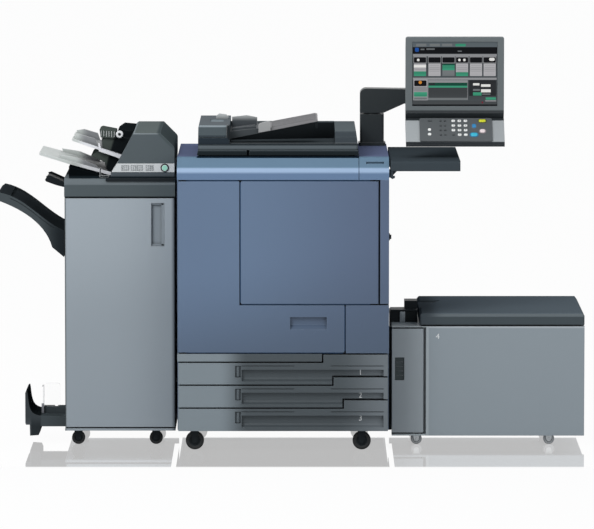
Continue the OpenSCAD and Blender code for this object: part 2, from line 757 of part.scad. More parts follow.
// Post with a collar under the arm and the spigot on which the arm turns.
module panel_post() color(black) at_engine() {
    translate([post_x, post_y, deck_z]) linear_extrude(post_z - deck_z - gap)
        round_rect(post_w, post_d, 8);
    translate([post_x - 6, post_y - 6, deck_z]) linear_extrude(12)
        round_rect(post_w + 12, post_d + 12, 10);
    translate([arm_x, arm_y, post_z - gap - 1]) cylinder(h = gap + 1 - seat, r = spigot_r + 14);
    translate([arm_x, arm_y, post_z - gap - 1]) cylinder(h = gap + 1 + spigot_h, r = spigot_r);
}

// Arm that swivels on the post, round at its corner and thinner towards the monitor; its fork
// carries the tilting monitor.
module panel_arm() color(black) at_engine() {
    ear_x = knuckle_w / 2 + 1;
    difference() {
        union() {
            translate([post_x, post_y, post_z]) along_y(post_d) polygon(concat(
                [[0, 0], [post_w - 2, 0], [post_w + 74, arm_rise], [tilt_x + 50 - post_x, boom_z],
                    [tilt_x + 50 - post_x, arm_h - 4], [post_w + 60, arm_h - 2]],
                arc([arm_r, arm_h - arm_r], arm_r, 90, 180, 10)));
            translate([tilt_x - 50, tilt_y + knuckle_r + 8, post_z + boom_z])
                cube([100, post_y - tilt_y - knuckle_r, arm_h - boom_z - 4]);
            for (x = [-ear_x - tilt_ear_t, ear_x]) translate([tilt_x + x, tilt_y, tilt_z]) {
                rod_x(tilt_ear_t, knuckle_r);
                translate([0, 0, -knuckle_r]) cube([tilt_ear_t, knuckle_r + 10, 2 * knuckle_r]);
            }
            translate([tilt_x - ear_x - 1, tilt_y, tilt_z]) rod_x(2 * ear_x + 2, tilt_r);
        }
        translate([arm_x, arm_y, post_z - eps])
            cylinder(h = spigot_h + 1, r = spigot_r + pin_play);
    }
}

// Knuckle behind the monitor, turning on the arm's pin.
module monitor_knuckle() color(black) at_engine() translate([tilt_x - knuckle_w / 2, 0, 0])
    difference() {
        union() {
            translate([0, tilt_y, tilt_z]) rod_x(knuckle_w, knuckle_r);
            translate([0, monitor_y + monitor_t, tilt_z - knuckle_r])
                cube([knuckle_w, tilt_y - monitor_y - monitor_t, 2 * knuckle_r]);
        }
        translate([-eps, tilt_y, tilt_z]) rod_x(knuckle_w + 2 * eps, tilt_r + pin_play);
    }

// Monitor: round corners, a chin that slopes back under the screen, and a deeper back.
chin_h = 20;
chin_back = 14;
bezel = (monitor_w - screen_w) / 2;
screen_drop = 18;
screen_in = 4;
glass_t = 4;
screen_z = monitor_z + monitor_h - screen_drop - screen_h;
module monitor_housing() color(dark) at_engine()
    translate([monitor_x, monitor_y, monitor_z]) difference() {
        intersection() {
            along_x(monitor_w) polygon([[chin_back, 0], [0, chin_h], [0, monitor_h - 3],
                [3, monitor_h], [22, monitor_h], [monitor_t, monitor_h - 40], [monitor_t, 0]]);
            along_y(monitor_t) translate([0, -10]) round_rect(monitor_w, monitor_h + 10, 8);
        }
        translate([bezel, -1, screen_z - monitor_z])
            cube([screen_w, screen_in + glass_t + 1, screen_h]);
        for (k = [0 : 6]) translate([60, monitor_t - 3, monitor_h - 90 + k * 6])
            cube([monitor_w - 120, 4, 3]);
    }

module touch_screen() color("#1d2a2c") at_engine()
    translate([monitor_x + bezel, monitor_y + screen_in, screen_z])
        cube([screen_w, glass_t, screen_h]);

// Silver shelf under the screen, sloping down towards the operator, with a dark sole.
shelf_drop = 78;
shelf_out = 96;
shelf_lip = 7;
sole_t = 10;
key_panel_t = 5;
shelf_angle = atan(shelf_drop / shelf_out);
shelf_slope = shelf_out / cos(shelf_angle);
module on_shelf() at_engine() translate([monitor_x, monitor_y, monitor_z])
    rotate([shelf_angle, 0, 0]) translate([0, -shelf_slope, 0]) children();

module key_shelf() color(silver) at_engine()
    translate([monitor_x, monitor_y, monitor_z]) along_x(monitor_w)
        polygon([[chin_back, 0], [0, 0], [-shelf_out, -shelf_drop],
            [-shelf_out, -shelf_drop - shelf_lip], [monitor_t - 8, -14], [monitor_t - 8, 0]]);

key_panel_x = (monitor_w - key_panel_w) / 2 + 3;
module key_panel() color(dark) {
    on_shelf() translate([key_panel_x, 1, 0]) linear_extrude(key_panel_t)
        round_rect(key_panel_w, shelf_slope - 4, 7);
    at_engine() translate([monitor_x, monitor_y, monitor_z]) along_x(monitor_w)
        polygon([[-shelf_out, -shelf_drop - shelf_lip], [monitor_t - 8, -14],
            [monitor_t - 8, -14 - sole_t], [-shelf_out + 6, -shelf_drop - shelf_lip - sole_t],
            [-shelf_out - 1, -shelf_drop - shelf_lip - sole_t + 2]]);
}

// A key of the key panel: its place on the slope, its width and its height.
module key(x, s, w, h) on_shelf() translate([x - w / 2, s - h / 2, key_panel_t])
    linear_extrude(3) round_rect(w, h, min(w, h) * 0.35);

numeric_x = [172, 194, 216];
numeric_s = [111, 86, 62, 38];
small_x = [126, 142];
module panel_keys() color(silver) {
    for (x = numeric_x, s = numeric_s) key(x, s, 15, 13);
    for (x = small_x, s = numeric_s) key(x, s, 9, 8);
    key(85.5, 65, 13, 13);
    key(85.5, 41, 15, 14);
    key(277, 111, 25, 14);
    key(247, 84, 15, 20);
    key(246, 39, 24, 18);
    key(277, 58, 19, 18);
}

// Table with a round front edge, its two brackets and the hook under its front.
bracket_h = 28;
module working_table() color(dark) at_engine() {
    translate([engine_w + gap, 10, table_z - table_t]) intersection() {
        along_x(table_w) polygon(concat([[table_d, 0], [table_d, table_t]],
            arc([8, table_t - 8], 8, 90, 180), arc([6, 6], 6, 180, 270)));
        linear_extrude(table_t) round_rect(table_w, table_d, 5);
    }
    for (y = [80, 520]) translate([engine_w, y, table_z - table_t]) along_y(30)
        polygon([[0, -bracket_h], [8, -bracket_h], [bracket_h, -6], [bracket_h, 0], [0, 0]]);
    translate([engine_w + 2, 14, table_z - table_t - 28]) along_y(24)
        polygon([[4, 28 + eps], [4, 14], [0, 14], [0, 6], [10, 0], [19, 4], [19, 10], [12, 10],
            [12, 28 + eps]]);
}

/* ---------- finisher ---------- */

// Carriage arms of the delivery tray, running in the finisher's two slots.
slot_w = 24;
slot_deep = 14;
slot_z = 290;
slot_h = 560;
tray_y = (finisher_d - shift_tray_w) / 2;
slot_y = [tray_y + 100, tray_y + shift_tray_w - 130];
exit_z = 868;
exit_h = 22;
exit_w = 400;
exit_y = (finisher_d - exit_w) / 2;
finisher_core_y = finisher_door_t + 40;

module finisher_housing() color(pale_grey) at_finisher() difference() {
    union() {
        translate([0, finisher_core_y, finisher_floor_z + finisher_sole_t])
            cube([finisher_w, finisher_d - finisher_core_y,
                lid_z - finisher_floor_z - finisher_sole_t]);
        translate([0, 2, finisher_floor_z]) cube([finisher_w, finisher_d - 2, finisher_sole_t]);
    }
    for (y = slot_y) translate([-eps, y, slot_z]) cube([slot_deep, slot_w, slot_h]);
    translate([-eps, exit_y, exit_z]) cube([26, exit_w, exit_h]);
    for (k = [0 : 7]) translate([80, finisher_d - 4, 520 + k * 24])
        cube([finisher_w - 160, 5, 12]);
    translate([70, finisher_d - 6, 120]) cube([60, 7, 90]);
}

// Inner cover with the stapler's and the folder's bays, a rib between them and two levers.
module finisher_inner_cover() color(dark) at_finisher() {
    front = finisher_door_t + 10;
    difference() {
        translate([0, front, finisher_floor_z + finisher_sole_t])
            cube([finisher_w, finisher_core_y - front,
                lid_z - finisher_floor_z - finisher_sole_t]);
        translate([40, front - eps, 560]) cube([320, 18, 280]);
        translate([40, front - eps, 140]) cube([320, 18, 360]);
    }
    translate([70, front + 4, 600]) cube([140, 14 + eps, 120]);
    translate([250, front + 4, 190]) cube([70, 14 + eps, 220]);
    for (p = [[130, 780], [120, 440]]) translate([p[0], front, p[1]]) rod_y(18 + eps, 22);
}

finisher_grip_x = finisher_w - 86;
finisher_grip_z = 727;
finisher_grip_deep = 14;
module finisher_door() color(pale_grey) at_finisher() difference() {
    door_leaf(door_edge, 1, finisher_w - 2 * door_edge, finisher_door_t,
        finisher_door_z, finisher_door_top);
    pin_bores(front_pin_x, finisher_door_z, finisher_door_top);
    translate([finisher_grip_x, -1, finisher_grip_z])
        cube([finisher_grip_w, finisher_grip_deep + 1, finisher_grip_h]);
    translate([finisher_grip_x - 5, 6, finisher_grip_z])
        cube([6, finisher_grip_deep - 6, finisher_grip_h]);
}

// Lid with a sloping front edge; it hangs over the door's top.
module finisher_lid() color(dark) at_finisher() translate([0, 0, lid_z]) difference() {
    along_x(finisher_w) polygon([[3, 0], [0, 3], [0, lid_h - 21], [5, lid_h - 16],
        [12, lid_h - 1], [16, lid_h], [finisher_d - 6, lid_h], [finisher_d, lid_h - 6],
        [finisher_d, 0]]);
    translate([-eps, 130, lid_h - 9]) cube([14, 260, 5]);
}

// Small upper tray at the finisher's left, with a rim along its front and back.
sub_tray_l = 77;
sub_tray_w = 180;
module sub_tray() color(black) at_finisher() translate([0, (finisher_d - sub_tray_w) / 2 - 50, 0]) {
    along_y(sub_tray_w) polygon([[0, 923], [0, 933], [-60, 961], [-70, 960], [-sub_tray_l, 951],
        [-72, 945], [-36, 932]]);
    for (y = [0, sub_tray_w - 8]) translate([0, y, 0]) along_y(8)
        polygon([[0, 932], [-60, 960], [-70, 959], [-72, 965], [-60, 968], [0, 941]]);
}

// Delivery tray: an S-curved floor between two rims, with a grey skirt below, on two arms that
// run in the finisher's slots.
tray_root = 6;
tray_tip = [-tray_reach, 883];
tray_rim_w = 16;
tray_floor_deep = 9;
groove_deep = 2;
// Points of a line shifted down, and points in reverse order.
function lowered(points, drop) = [for (p = points) p - [0, drop]];
function reversed(points) = [for (i = [len(points) - 1 : -1 : 0]) points[i]];
module shift_tray() color(black) at_finisher() {
    upper = cubic([-tray_root, 771], [-91, 810], [-144, 892], tray_tip + [12, 27], 14);
    lower = cubic(tray_tip, [-158, 851], [-72, 797], [-49, 711], 14);
    floor_line = [for (i = [0 : 12]) upper[i]];
    groove_line = [for (i = [2 : 12]) upper[i]];
    translate([0, tray_y, 0]) difference() {
        along_y(shift_tray_w) polygon(concat(upper, [tray_tip + [0, 18]], lower,
            [[-tray_root, 675]]));
        // The floor lies between the rims; a groove runs along each side.
        translate([0, tray_rim_w, 0]) along_y(shift_tray_w - 2 * tray_rim_w)
            polygon(concat([upper[0] - [-1, tray_floor_deep]], lowered(floor_line, tray_floor_deep),
                reversed(lowered(floor_line, -20)), [upper[0] + [1, 20]]));
        for (y = [-1, shift_tray_w - groove_deep]) translate([0, y, 0]) along_y(groove_deep + 1)
            polygon(concat(lowered(groove_line, 12), reversed(lowered(groove_line, 8))));
    }
    for (y = slot_y) translate([-tray_root - 1, y + seat, 700])
        cube([tray_root + slot_deep - 3, slot_w - 2 * seat, 60]);
}

// Booklet tray near the floor: a tall outer wall curving into a rail, a foot, and a row of
// rollers in two boxes with a divider between them.
booklet_y = 60;
booklet_rail_z = [62, 97];
booklet_box_y = 90;
booklet_box_z = 122;
module booklet_tray() color(black) at_finisher() translate([0, booklet_y, 0]) {
    along_y(booklet_w) polygon(concat([[-147, 74], [-147, 184], [-144, 188], [-140, 188]],
        cubic([-138, 176], [-133, 124], [-128, 104], [-90, 101], 8), [[0, booklet_rail_z[1]],
        [0, booklet_rail_z[0]], [-93, booklet_rail_z[0]], [-93, 42], [-99, 30], [-130, 28],
        [-131, 68], [-144, 68]]));
    for (box = [[-83, 38, 60, 0], [-46, 14, 56, -3], [-33, 33, 60, 0]])
        translate([box[0], booklet_box_y, booklet_rail_z[1] - 1])
            cube([box[1], box[2], booklet_box_z + box[3] - booklet_rail_z[1] + 1]);
}

// Clear stoppers for the booklets: a broad plate with a round top on the roller boxes and a
// thin one that stands on the rail.
module booklet_stopper() color("#d8dcde") at_finisher() translate([0, booklet_y, 0]) {
    translate([-79, booklet_box_y + 28, booklet_box_z + 0.1]) along_y(4) round_rect(54, 84, 9);
    translate([-89, booklet_box_y - 10, 101.2]) cube([5, 70, 96]);
}

/* ---------- post inserter ---------- */

inserter_z = lid_z + lid_h;
strip_z = inserter_z + 22;
housing_z = strip_z + 31;
inserter_top = housing_z + 110;
inserter_y = 10;
corner_w = 53;
corner_h = 47;
feed_y = 110;
feed_t = 12;
base_x = 17;
strip_x = 171;
touch = 0.1;
lower_tip = [-94, inserter_z + 84];
lower_end = strip_x - 6;
lower_fall = (lower_tip[1] - inserter_z - feed_t - 2) / (lower_end - lower_tip[0]);
upper_tip = [24, housing_z + 84];
upper_foot_z = housing_z + 24;
upper_t = 9;

// Left edge of the inserter's front: it leans over the trays.
function housing_x(z) = strip_x + 20 + (z - housing_z) * 0.54;
upper_fall = (upper_tip[1] - upper_foot_z) / (housing_x(upper_foot_z) - upper_tip[0]);
// Tops of the two trays.
function lower_top(x) = lower_tip[1] - (x - lower_tip[0]) * lower_fall;
function upper_top(x) = upper_tip[1] - (x - upper_tip[0]) * upper_fall;

module inserter_base() color(black) at_finisher() translate([0, inserter_y, 0])
    along_y(inserter_d) polygon([[base_x, inserter_z], [finisher_w - 2, inserter_z],
        [finisher_w - 2, strip_z], [strip_x, strip_z],
        [lower_end, lower_top(lower_end) - feed_t - touch],
        [base_x, lower_top(base_x) - feed_t - touch]]);

// Housing with its bevelled right corner, a seam round the front and vents at the back.
module inserter_housing() color(dark) at_finisher() translate([0, inserter_y, 0]) difference() {
    along_y(inserter_d) polygon([[housing_x(housing_z), housing_z],
        [housing_x(inserter_top - 4), inserter_top - 4], [housing_x(inserter_top) + 4, inserter_top],
        [finisher_w - corner_w, inserter_top], [finisher_w - 6, inserter_top - corner_h],
        [finisher_w - 2, inserter_top - corner_h - 8], [finisher_w - 2, housing_z]]);
    translate([housing_x(inserter_top) + 24, -1, inserter_top - 3])
        cube([finisher_w - corner_w - housing_x(inserter_top) - 34, 3, 4]);
    for (k = [0 : 5]) translate([250, inserter_d - 3, housing_z + 20 + k * 12])
        cube([110, 4, 6]);
}

// Hood behind the housing's leaning edge, with the block over the upper tray, the roller boxes
// on the two trays, and the knob that turns the upper rollers.
hood_y = 170;
box_y = feed_y + 20;
module inserter_hood() color(black) at_finisher() {
    hood_z = inserter_top - 36;
    translate([0, hood_y, 0]) along_y(inserter_d - hood_y - 50) polygon([[184, hood_z],
        [184, hood_z + 22], [204, inserter_top], [housing_x(inserter_top - 4), inserter_top - 4],
        [housing_x(hood_z), hood_z]]);
    translate([0, feed_y + 10, 0]) along_y(150) polygon([[184 + eps, hood_z + 8],
        [128, hood_z + 12], [124, hood_z + 40], [132, hood_z + 44], [184 + eps, hood_z + 34]]);
    translate([0, box_y, 0]) along_y(feed_w - 40) polygon([[134, upper_top(134) + touch],
        [132, upper_top(132) + 26], [146, upper_top(146) + 42], [186, hood_z + 10],
        [housing_x(hood_z + 6) - 1, hood_z + 6],
        [housing_x(upper_foot_z + 2) - 1, upper_foot_z + 2]]);
    translate([0, box_y, 0]) along_y(feed_w - 40) polygon([[152, lower_top(152) + touch],
        [lower_end, lower_top(lower_end) + touch], [strip_x - 1, strip_z],
        [housing_x(housing_z) - 1, housing_z], [housing_x(housing_z + 8) - 1, housing_z + 8],
        [126, upper_top(126) - upper_t - 4], [116, upper_top(116) - upper_t - 8],
        [92, housing_z + 17], [142, housing_z - 4]]);
    translate([197, hood_y - 10, hood_z + 24]) rod_y(11, 10);
}

// Silver strip of keys with its round start button.
module inserter_key_strip() color(silver) at_finisher() {
    translate([0, inserter_y, 0]) along_y(inserter_d) polygon([[strip_x, strip_z],
        [housing_x(housing_z), housing_z], [finisher_w - 2, housing_z], [finisher_w - 2, strip_z]]);
    translate([finisher_w - 37, inserter_y - 3, strip_z + 15]) rod_y(4, 11);
    for (k = [0 : 3]) translate([strip_x + 44 + k * 26, inserter_y - 1.5, strip_z + 8])
        cube([16, 2, 14]);
}

// Upper tray, which falls into the housing, with its side guides and the white angle plate at
// its front.
module inserter_upper_tray() color(silver) at_finisher() translate([0, feed_y, 0]) {
    under = upper_foot_z - upper_t;
    along_y(feed_w) polygon([[upper_tip[0], upper_tip[1] - 6],
        [upper_tip[0] + 2, upper_top(upper_tip[0] + 2)],
        [housing_x(upper_foot_z), upper_foot_z], [housing_x(under), under],
        [upper_tip[0] + 4, upper_top(upper_tip[0] + 4) - upper_t]]);
    for (y = [24, feed_w - 34]) translate([0, y, 0]) along_y(10)
        polygon([[34, upper_top(34) - 1], [30, upper_top(30) + 8], [58, upper_top(58) + 22],
            [108, upper_top(108) + 24], [118, upper_top(118) - 1]]);
    for (y = [-3, feed_w - 4]) translate([0, y, 0]) along_y(7)
        polygon([[120, upper_top(120) + 14], [126, upper_top(126) + 14], [130, upper_top(130) - 3],
            [housing_x(upper_foot_z - 3), upper_foot_z - 3], [housing_x(under - 5), under - 5],
            [180, upper_top(180) - upper_t - 6], [122, upper_top(122) - upper_t - 6]]);
}

// The lower tray lies on the base and ends at the strip's leaning edge; guides stand on it.
module inserter_lower_tray() color(silver) at_finisher() translate([0, feed_y, 0]) {
    tip = lower_tip[0];
    along_y(feed_w) polygon([[tip, lower_top(tip)], [lower_end, lower_top(lower_end)],
        [lower_end, lower_top(lower_end) - feed_t], [base_x, lower_top(base_x) - feed_t],
        [tip, lower_top(tip) - feed_t + 4]]);
    for (y = [20, feed_w - 32]) translate([0, y, 0]) along_y(12) polygon([[-20, lower_top(-20) - 1],
        [-24, lower_top(-20) + 12], [40, lower_top(40) + 18], [112, lower_top(112) + 8],
        [120, lower_top(120) - 1]]);
}

/* ---------- large-capacity feeder unit ---------- */

front_x = side_door_w + 8;
side_in = 3;
bin_x = (feeder_w - bin_l) / 2 + 65;
bin_y = 100;
edge_r = 3;
module feeder_unit_housing() color(pale_grey) at_feeder() difference() {
    union() {
        // Front panel with round upright edges, the body behind it and behind the side door.
        translate([front_x, 0, feeder_floor_z]) linear_extrude(feeder_top_z - feeder_floor_z)
            round_rect(feeder_w - front_x, door_t, edge_r);
        translate([side_in, inner_y, body_z])
            cube([feeder_w - side_in, feeder_d - inner_y, feeder_top_z - body_z]);
        translate([front_x + edge_r, door_t / 2, body_z])
            cube([feeder_w - front_x - edge_r, feeder_d - door_t, feeder_top_z - body_z]);
        // The sole lip and the head lip that hold the side door's pins.
        translate([side_in, 2, feeder_floor_z]) cube([57, 50, feeder_sole_t]);
        translate([side_in, 2, feeder_floor_z]) cube([front_x - 2, 24, feeder_sole_t]);
        translate([side_in, inner_y + 2, feeder_floor_z]) cube([57, 16, body_z - feeder_floor_z + 1]);
        translate([side_in, 0, feeder_top_z - head_t]) cube([front_x - side_in + edge_r, 56, head_t]);
    }
    translate([bin_x, bin_y, feeder_top_z - bin_deep]) cube([bin_l, bin_w, bin_deep + 1]);
    for (k = [0 : 8]) translate([feeder_w - 3, 380, 120 + k * 20]) cube([4, 150, 10]);
    translate([220, feeder_d - 4, 160]) cube([260, 5, 150]);
}

side_grip = [14, 238, 34, 83];
module feeder_unit_door() color(pale_grey) at_feeder() difference() {
    door_leaf(side_door_w, -1, side_door_w - side_in, door_t, side_door_z, side_door_top);
    pin_bores(side_pin_x, side_door_z, side_door_top);
    translate([side_grip[0], -1, side_grip[1]]) cube([side_grip[2], 15, side_grip[3]]);
    for (k = [0 : 3]) translate([side_grip[0] - 2, 4, side_grip[1] + 8 + k * 20])
        cube([3, 6, 10]);
}

// Lid: a hollow shell with a bevelled front and right edge and a wedge-shaped hand recess.
lid_wall = 6;
lid_bevel = 10;
module feeder_unit_lid() color(dark) at_feeder() {
    w = feeder_w - feeder_lid_x;
    translate([feeder_lid_x, 0, feeder_top_z + gap]) difference() {
        intersection() {
            linear_extrude(feeder_lid_h) round_rect(w, feeder_d, edge_r * 3);
            along_x(w) polygon([[2, 0], [0, 3], [0, feeder_lid_h - 14], [3, feeder_lid_h - 5],
                [8, feeder_lid_h], [feeder_d, feeder_lid_h], [feeder_d, 0]]);
            along_y(feeder_d) polygon([[0, 0], [w, 0], [w, feeder_lid_h - lid_bevel],
                [w - lid_bevel * 0.8, feeder_lid_h], [8, feeder_lid_h], [0, feeder_lid_h - 8]]);
        }
        translate([lid_wall + 2, lid_wall + 2, -eps])
            cube([w - 2 * lid_wall - 6, feeder_d - 2 * lid_wall - 4, feeder_lid_h - lid_bevel - 2]);
        translate([0, 0, feeder_lid_h - 7]) linear_extrude(8)
            polygon([[-1, 200], [-1, 450], [84, 450]]);
    }
    for (x = lid_hinge_x) {
        translate([x, feeder_d - 1, lid_hinge[1]]) cube([hinge_w, barrel_back - pin_r, barrel_r]);
        translate([x, lid_hinge[0], lid_hinge[1]]) barrel(hinge_w);
    }
}

module feeder_unit_lift_plate() color(steel) at_feeder()
    translate([bin_x + seat, bin_y + seat, feeder_top_z - bin_deep]) difference() {
        cube([bin_l - 2 * seat, bin_w - 2 * seat, 3]);
        for (x = [120, bin_l - 180]) translate([x, -1, -1]) cube([60, 90, 5]);
    }

// Bridge that hands the paper to the engine: two dark blocks, a grey rib between them, a
// cover plate and a raised block.
bridge_h = 40;
bridge_y = 140;
bridge_d = 90;
path_d = 350;
bridge_w = feeder_lid_x - gap - 1;
module feeder_unit_bridge() color(black) at_feeder() translate([0, 0, feeder_top_z]) {
    translate([0, bridge_y + 6, 0]) cube([34, bridge_d - 6, bridge_h]);
    translate([34 - eps, bridge_y, 0]) linear_extrude(bridge_h) polygon([[0, 0], [20, 0],
        [24, 8], [24, bridge_d], [0, bridge_d]]);
    translate([56, bridge_y + 6, 0]) cube([bridge_w - 56, bridge_d - 6, bridge_h]);
    translate([0, bridge_y, bridge_h - eps]) cube([bridge_w, bridge_d, 6]);
    translate([52, bridge_y + 40, bridge_h]) cube([bridge_w - 52, bridge_d - 10, 34]);
    // The low box behind them that holds the paper path.
    translate([0, bridge_y + 10, 0]) cube([bridge_w, path_d, 13]);
}

/* ---------- assembly ---------- */

engine_chassis();
engine_side_panels();
engine_rear_cover();
engine_core();
engine_inner_cover();
engine_fixed_covers();
toner_bottles();
tray_head_strip();
engine_top_cover();
engine_top_right_cover();
platen_glass();
door_pins();
tray_rails();
side_fittings();
castor_forks();
castor_wheels();
feeder_castor_forks();
feeder_castor_wheels();
front_door();
toner_door();
tray_front(1);  // paper_tray_1_front
tray_box(1);  // paper_tray_1_box
tray_front(2);  // paper_tray_2_front
tray_box(2);  // paper_tray_2_box
tray_front(3);  // paper_tray_3_front
tray_box(3);  // paper_tray_3_box
feeder_base();
feeder_head();
document_tray();
document_guides();
panel_post();
panel_arm();
monitor_knuckle();
monitor_housing();
touch_screen();
key_shelf();
key_panel();
panel_keys();
working_table();
finisher_housing();
finisher_inner_cover();
finisher_door();
finisher_lid();
inserter_base();
inserter_housing();
inserter_hood();
inserter_key_strip();
inserter_upper_tray();
inserter_lower_tray();
sub_tray();
shift_tray();
booklet_tray();
booklet_stopper();
feeder_unit_housing();
feeder_unit_door();
feeder_unit_lid();
feeder_unit_lift_plate();
feeder_unit_bridge();
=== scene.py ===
"""Looks of a production printer line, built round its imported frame.

The line is a blue print engine with three paper trays, a document feeder and an operator panel
on an arm, a grey finisher with a post inserter on its left and a grey side feeder on its right.
Lengths are in metres, apart from those of the display and the keys, which are in millimetres.
"""

from __future__ import annotations

import logging
import math
from collections.abc import Iterable, Sequence
from dataclasses import dataclass
from enum import Enum

import bmesh
import bpy
from mathutils import Matrix, Vector

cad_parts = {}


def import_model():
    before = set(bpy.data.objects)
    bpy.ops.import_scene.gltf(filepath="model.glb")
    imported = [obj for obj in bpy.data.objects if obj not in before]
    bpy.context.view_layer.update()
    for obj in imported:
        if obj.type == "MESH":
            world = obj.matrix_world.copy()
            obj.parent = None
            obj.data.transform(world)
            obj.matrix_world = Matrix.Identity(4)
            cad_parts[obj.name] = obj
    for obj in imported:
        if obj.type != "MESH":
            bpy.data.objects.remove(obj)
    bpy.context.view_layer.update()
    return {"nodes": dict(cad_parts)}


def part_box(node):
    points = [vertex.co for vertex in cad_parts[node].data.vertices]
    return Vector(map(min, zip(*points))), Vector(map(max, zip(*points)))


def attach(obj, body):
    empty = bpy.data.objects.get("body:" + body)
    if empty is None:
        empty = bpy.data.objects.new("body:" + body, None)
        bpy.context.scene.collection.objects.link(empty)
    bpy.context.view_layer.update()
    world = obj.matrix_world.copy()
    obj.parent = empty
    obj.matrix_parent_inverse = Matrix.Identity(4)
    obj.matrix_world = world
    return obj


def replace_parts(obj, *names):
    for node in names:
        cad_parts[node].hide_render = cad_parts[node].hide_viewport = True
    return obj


LOG = logging.getLogger("printer_line")
MM = 0.001
SAME = 1e-6
SOFT = 0.0003  # radius or crown that takes the sharpness off a small piece, in metres
PROUD = 0.0006  # how far a trim or a lining stands out of its face, in metres

Node = bpy.types.Node
Socket = bpy.types.NodeSocket
Outputs = bpy.types.bpy_prop_collection
Inputs = dict[str | int, object]
Point = Sequence[float]
Tone = tuple[float, float, float, float]

WHITE: Tone = (1.0, 1.0, 1.0, 1.0)
FLOAT, COLOUR, VECTOR = "NodeSocketFloat", "NodeSocketColor", "NodeSocketVector"
RIGHT, LEFT = (1.0, 0.0, 0.0), (-1.0, 0.0, 0.0)
FRONT, REAR = (0.0, -1.0, 0.0), (0.0, 1.0, 0.0)
UP, DOWN = (0.0, 0.0, 1.0), (0.0, 0.0, -1.0)


class Body(Enum):
    """The moving bodies that pieces ride on."""

    PRINTER = "printer"
    FRONT_DOOR = "front_door"
    TONER_DOOR = "toner_door"
    TRAY_1 = "paper_tray_1"
    TRAY_2 = "paper_tray_2"
    TRAY_3 = "paper_tray_3"
    DOCUMENT_FEEDER = "document_feeder"
    OPERATOR_PANEL = "operator_panel"
    FINISHER_DOOR = "finisher_door"
    FEEDER_DOOR = "feeder_unit_door"


def linear(code: str) -> Tone:
    """Turns a display colour into the linear colour that shaders use.

    Args:
        code: The colour as six hexadecimal digits.

    Returns:
        Red, green, blue and an alpha of 1.
    """
    channels = [int(code[i : i + 2], 16) / 255 for i in (0, 2, 4)]
    return (*(c / 12.92 if c <= 0.04045 else ((c + 0.055) / 1.055) ** 2.4 for c in channels), 1.0)


def add_object(
    name: str, data: bpy.types.ID, at: Point = (0, 0, 0), aim: Point | None = None
) -> bpy.types.Object:
    """Adds an object to the scene.

    Args:
        name: Its name.
        data: Its mesh, camera or lamp.
        at: Its place.
        aim: The point that it looks at, if it looks anywhere.

    Returns:
        The object.
    """
    made = bpy.data.objects.new(name, data)
    made.location = at
    if aim is not None:
        made.rotation_euler = (Vector(aim) - Vector(at)).to_track_quat("-Z", "Y").to_euler()
    bpy.context.scene.collection.objects.link(made)
    return made


# ---------------------------------------------------------------------------
# Shader nodes
# ---------------------------------------------------------------------------


class NodeSheet:
    """A node tree with short calls to add nodes and feed them."""

    def __init__(self, tree: bpy.types.NodeTree) -> None:
        """Wraps a node tree."""
        self.tree = tree

    def feed(self, node: Node, inputs: Inputs) -> Outputs:
        """Links or sets a node's inputs.

        Args:
            node: The node.
            inputs: An output socket or a constant for each input.

        Returns:
            The node's outputs.
        """
        for key, value in inputs.items():
            if isinstance(value, Socket):
                self.tree.links.new(value, node.inputs[key])
            else:
                node.inputs[key].default_value = value
        return node.outputs

    def add(self, kind: str, inputs: Inputs | None = None, **settings: object) -> Outputs:
        """Adds a node.

        Args:
            kind: The node's type, without the prefix of shader nodes.
            inputs: An output socket or a constant for each input.
            **settings: Properties of the node to set.

        Returns:
            The node's outputs.
        """
        node = self.tree.nodes.new(f"ShaderNode{kind}")
        for name, value in settings.items():
            setattr(node, name, value)
        return self.feed(node, inputs or {})

    def maths(self, operation: str, *values: object, clamp: bool = False) -> Socket:
        """Adds a Math node, fed with a number or an output socket for each input in turn."""
        return self.add("Math", dict(enumerate(values)), operation=operation, use_clamp=clamp)[0]

    def blend(self, share: object, first: object, second: object) -> Socket:
        """Adds a mix of two colours, with the share of the second one."""
        return self.add("Mix", {0: share, 6: first, 7: second}, data_type="RGBA")[2]

    def overlay(self, share: Socket, first: Socket, second: Socket) -> Socket:
        """Adds a mix of two shaders, with the share of the second one."""
        return self.add("MixShader", {0: share, 1: first, 2: second})[0]


class Effect(Enum):
    """The shader groups that the finishes share, by their names."""

    MOULDING = "moulded_surface"
    EDGES = "moulded_edges"
    DUST = "settled_dust"
    SWEEP = "tone_sweep"
    BRUSHING = "brushed_lines"
    DISPLAY = "display_glow"


class Group(NodeSheet):
    """A shader group in the making."""

    def __init__(self, effect: Effect, inputs: dict[str, object], outputs: dict[str, str]) -> None:
        """Makes the group with its sockets.

        Args:
            effect: The effect that it stands for.
            inputs: The kind of each input, or its default where that is a number or a vector.
            outputs: The kind of each output.
        """
        super().__init__(bpy.data.node_groups.new(effect.value, "ShaderNodeTree"))
        for label, given in inputs.items():
            kind = given if isinstance(given, str) else FLOAT if isinstance(given, float) else VECTOR
            socket = self.tree.interface.new_socket(label, in_out="INPUT", socket_type=kind)
            if kind is not given:
                socket.default_value = given
        for label, kind in outputs.items():
            self.tree.interface.new_socket(label, in_out="OUTPUT", socket_type=kind)
        self.given = self.tree.nodes.new("NodeGroupInput").outputs
        self.end = self.tree.nodes.new("NodeGroupOutput")

    def noise(self, vector: Socket, scale: object, detail: float = 2.0) -> Socket:
        """Adds a noise and gives its value."""
        return self.add("TexNoise", {"Vector": vector, "Scale": scale, "Detail": detail})["Fac"]

    def along(self, operation: str, first: Socket, second: Socket) -> Outputs:
        """Adds a node that works on two vectors."""
        return self.add("VectorMath", {0: first, 1: second}, operation=operation)

    def parts(self, vector: Socket) -> Outputs:
        """Splits a vector."""
        return self.add("SeparateXYZ", {0: vector})


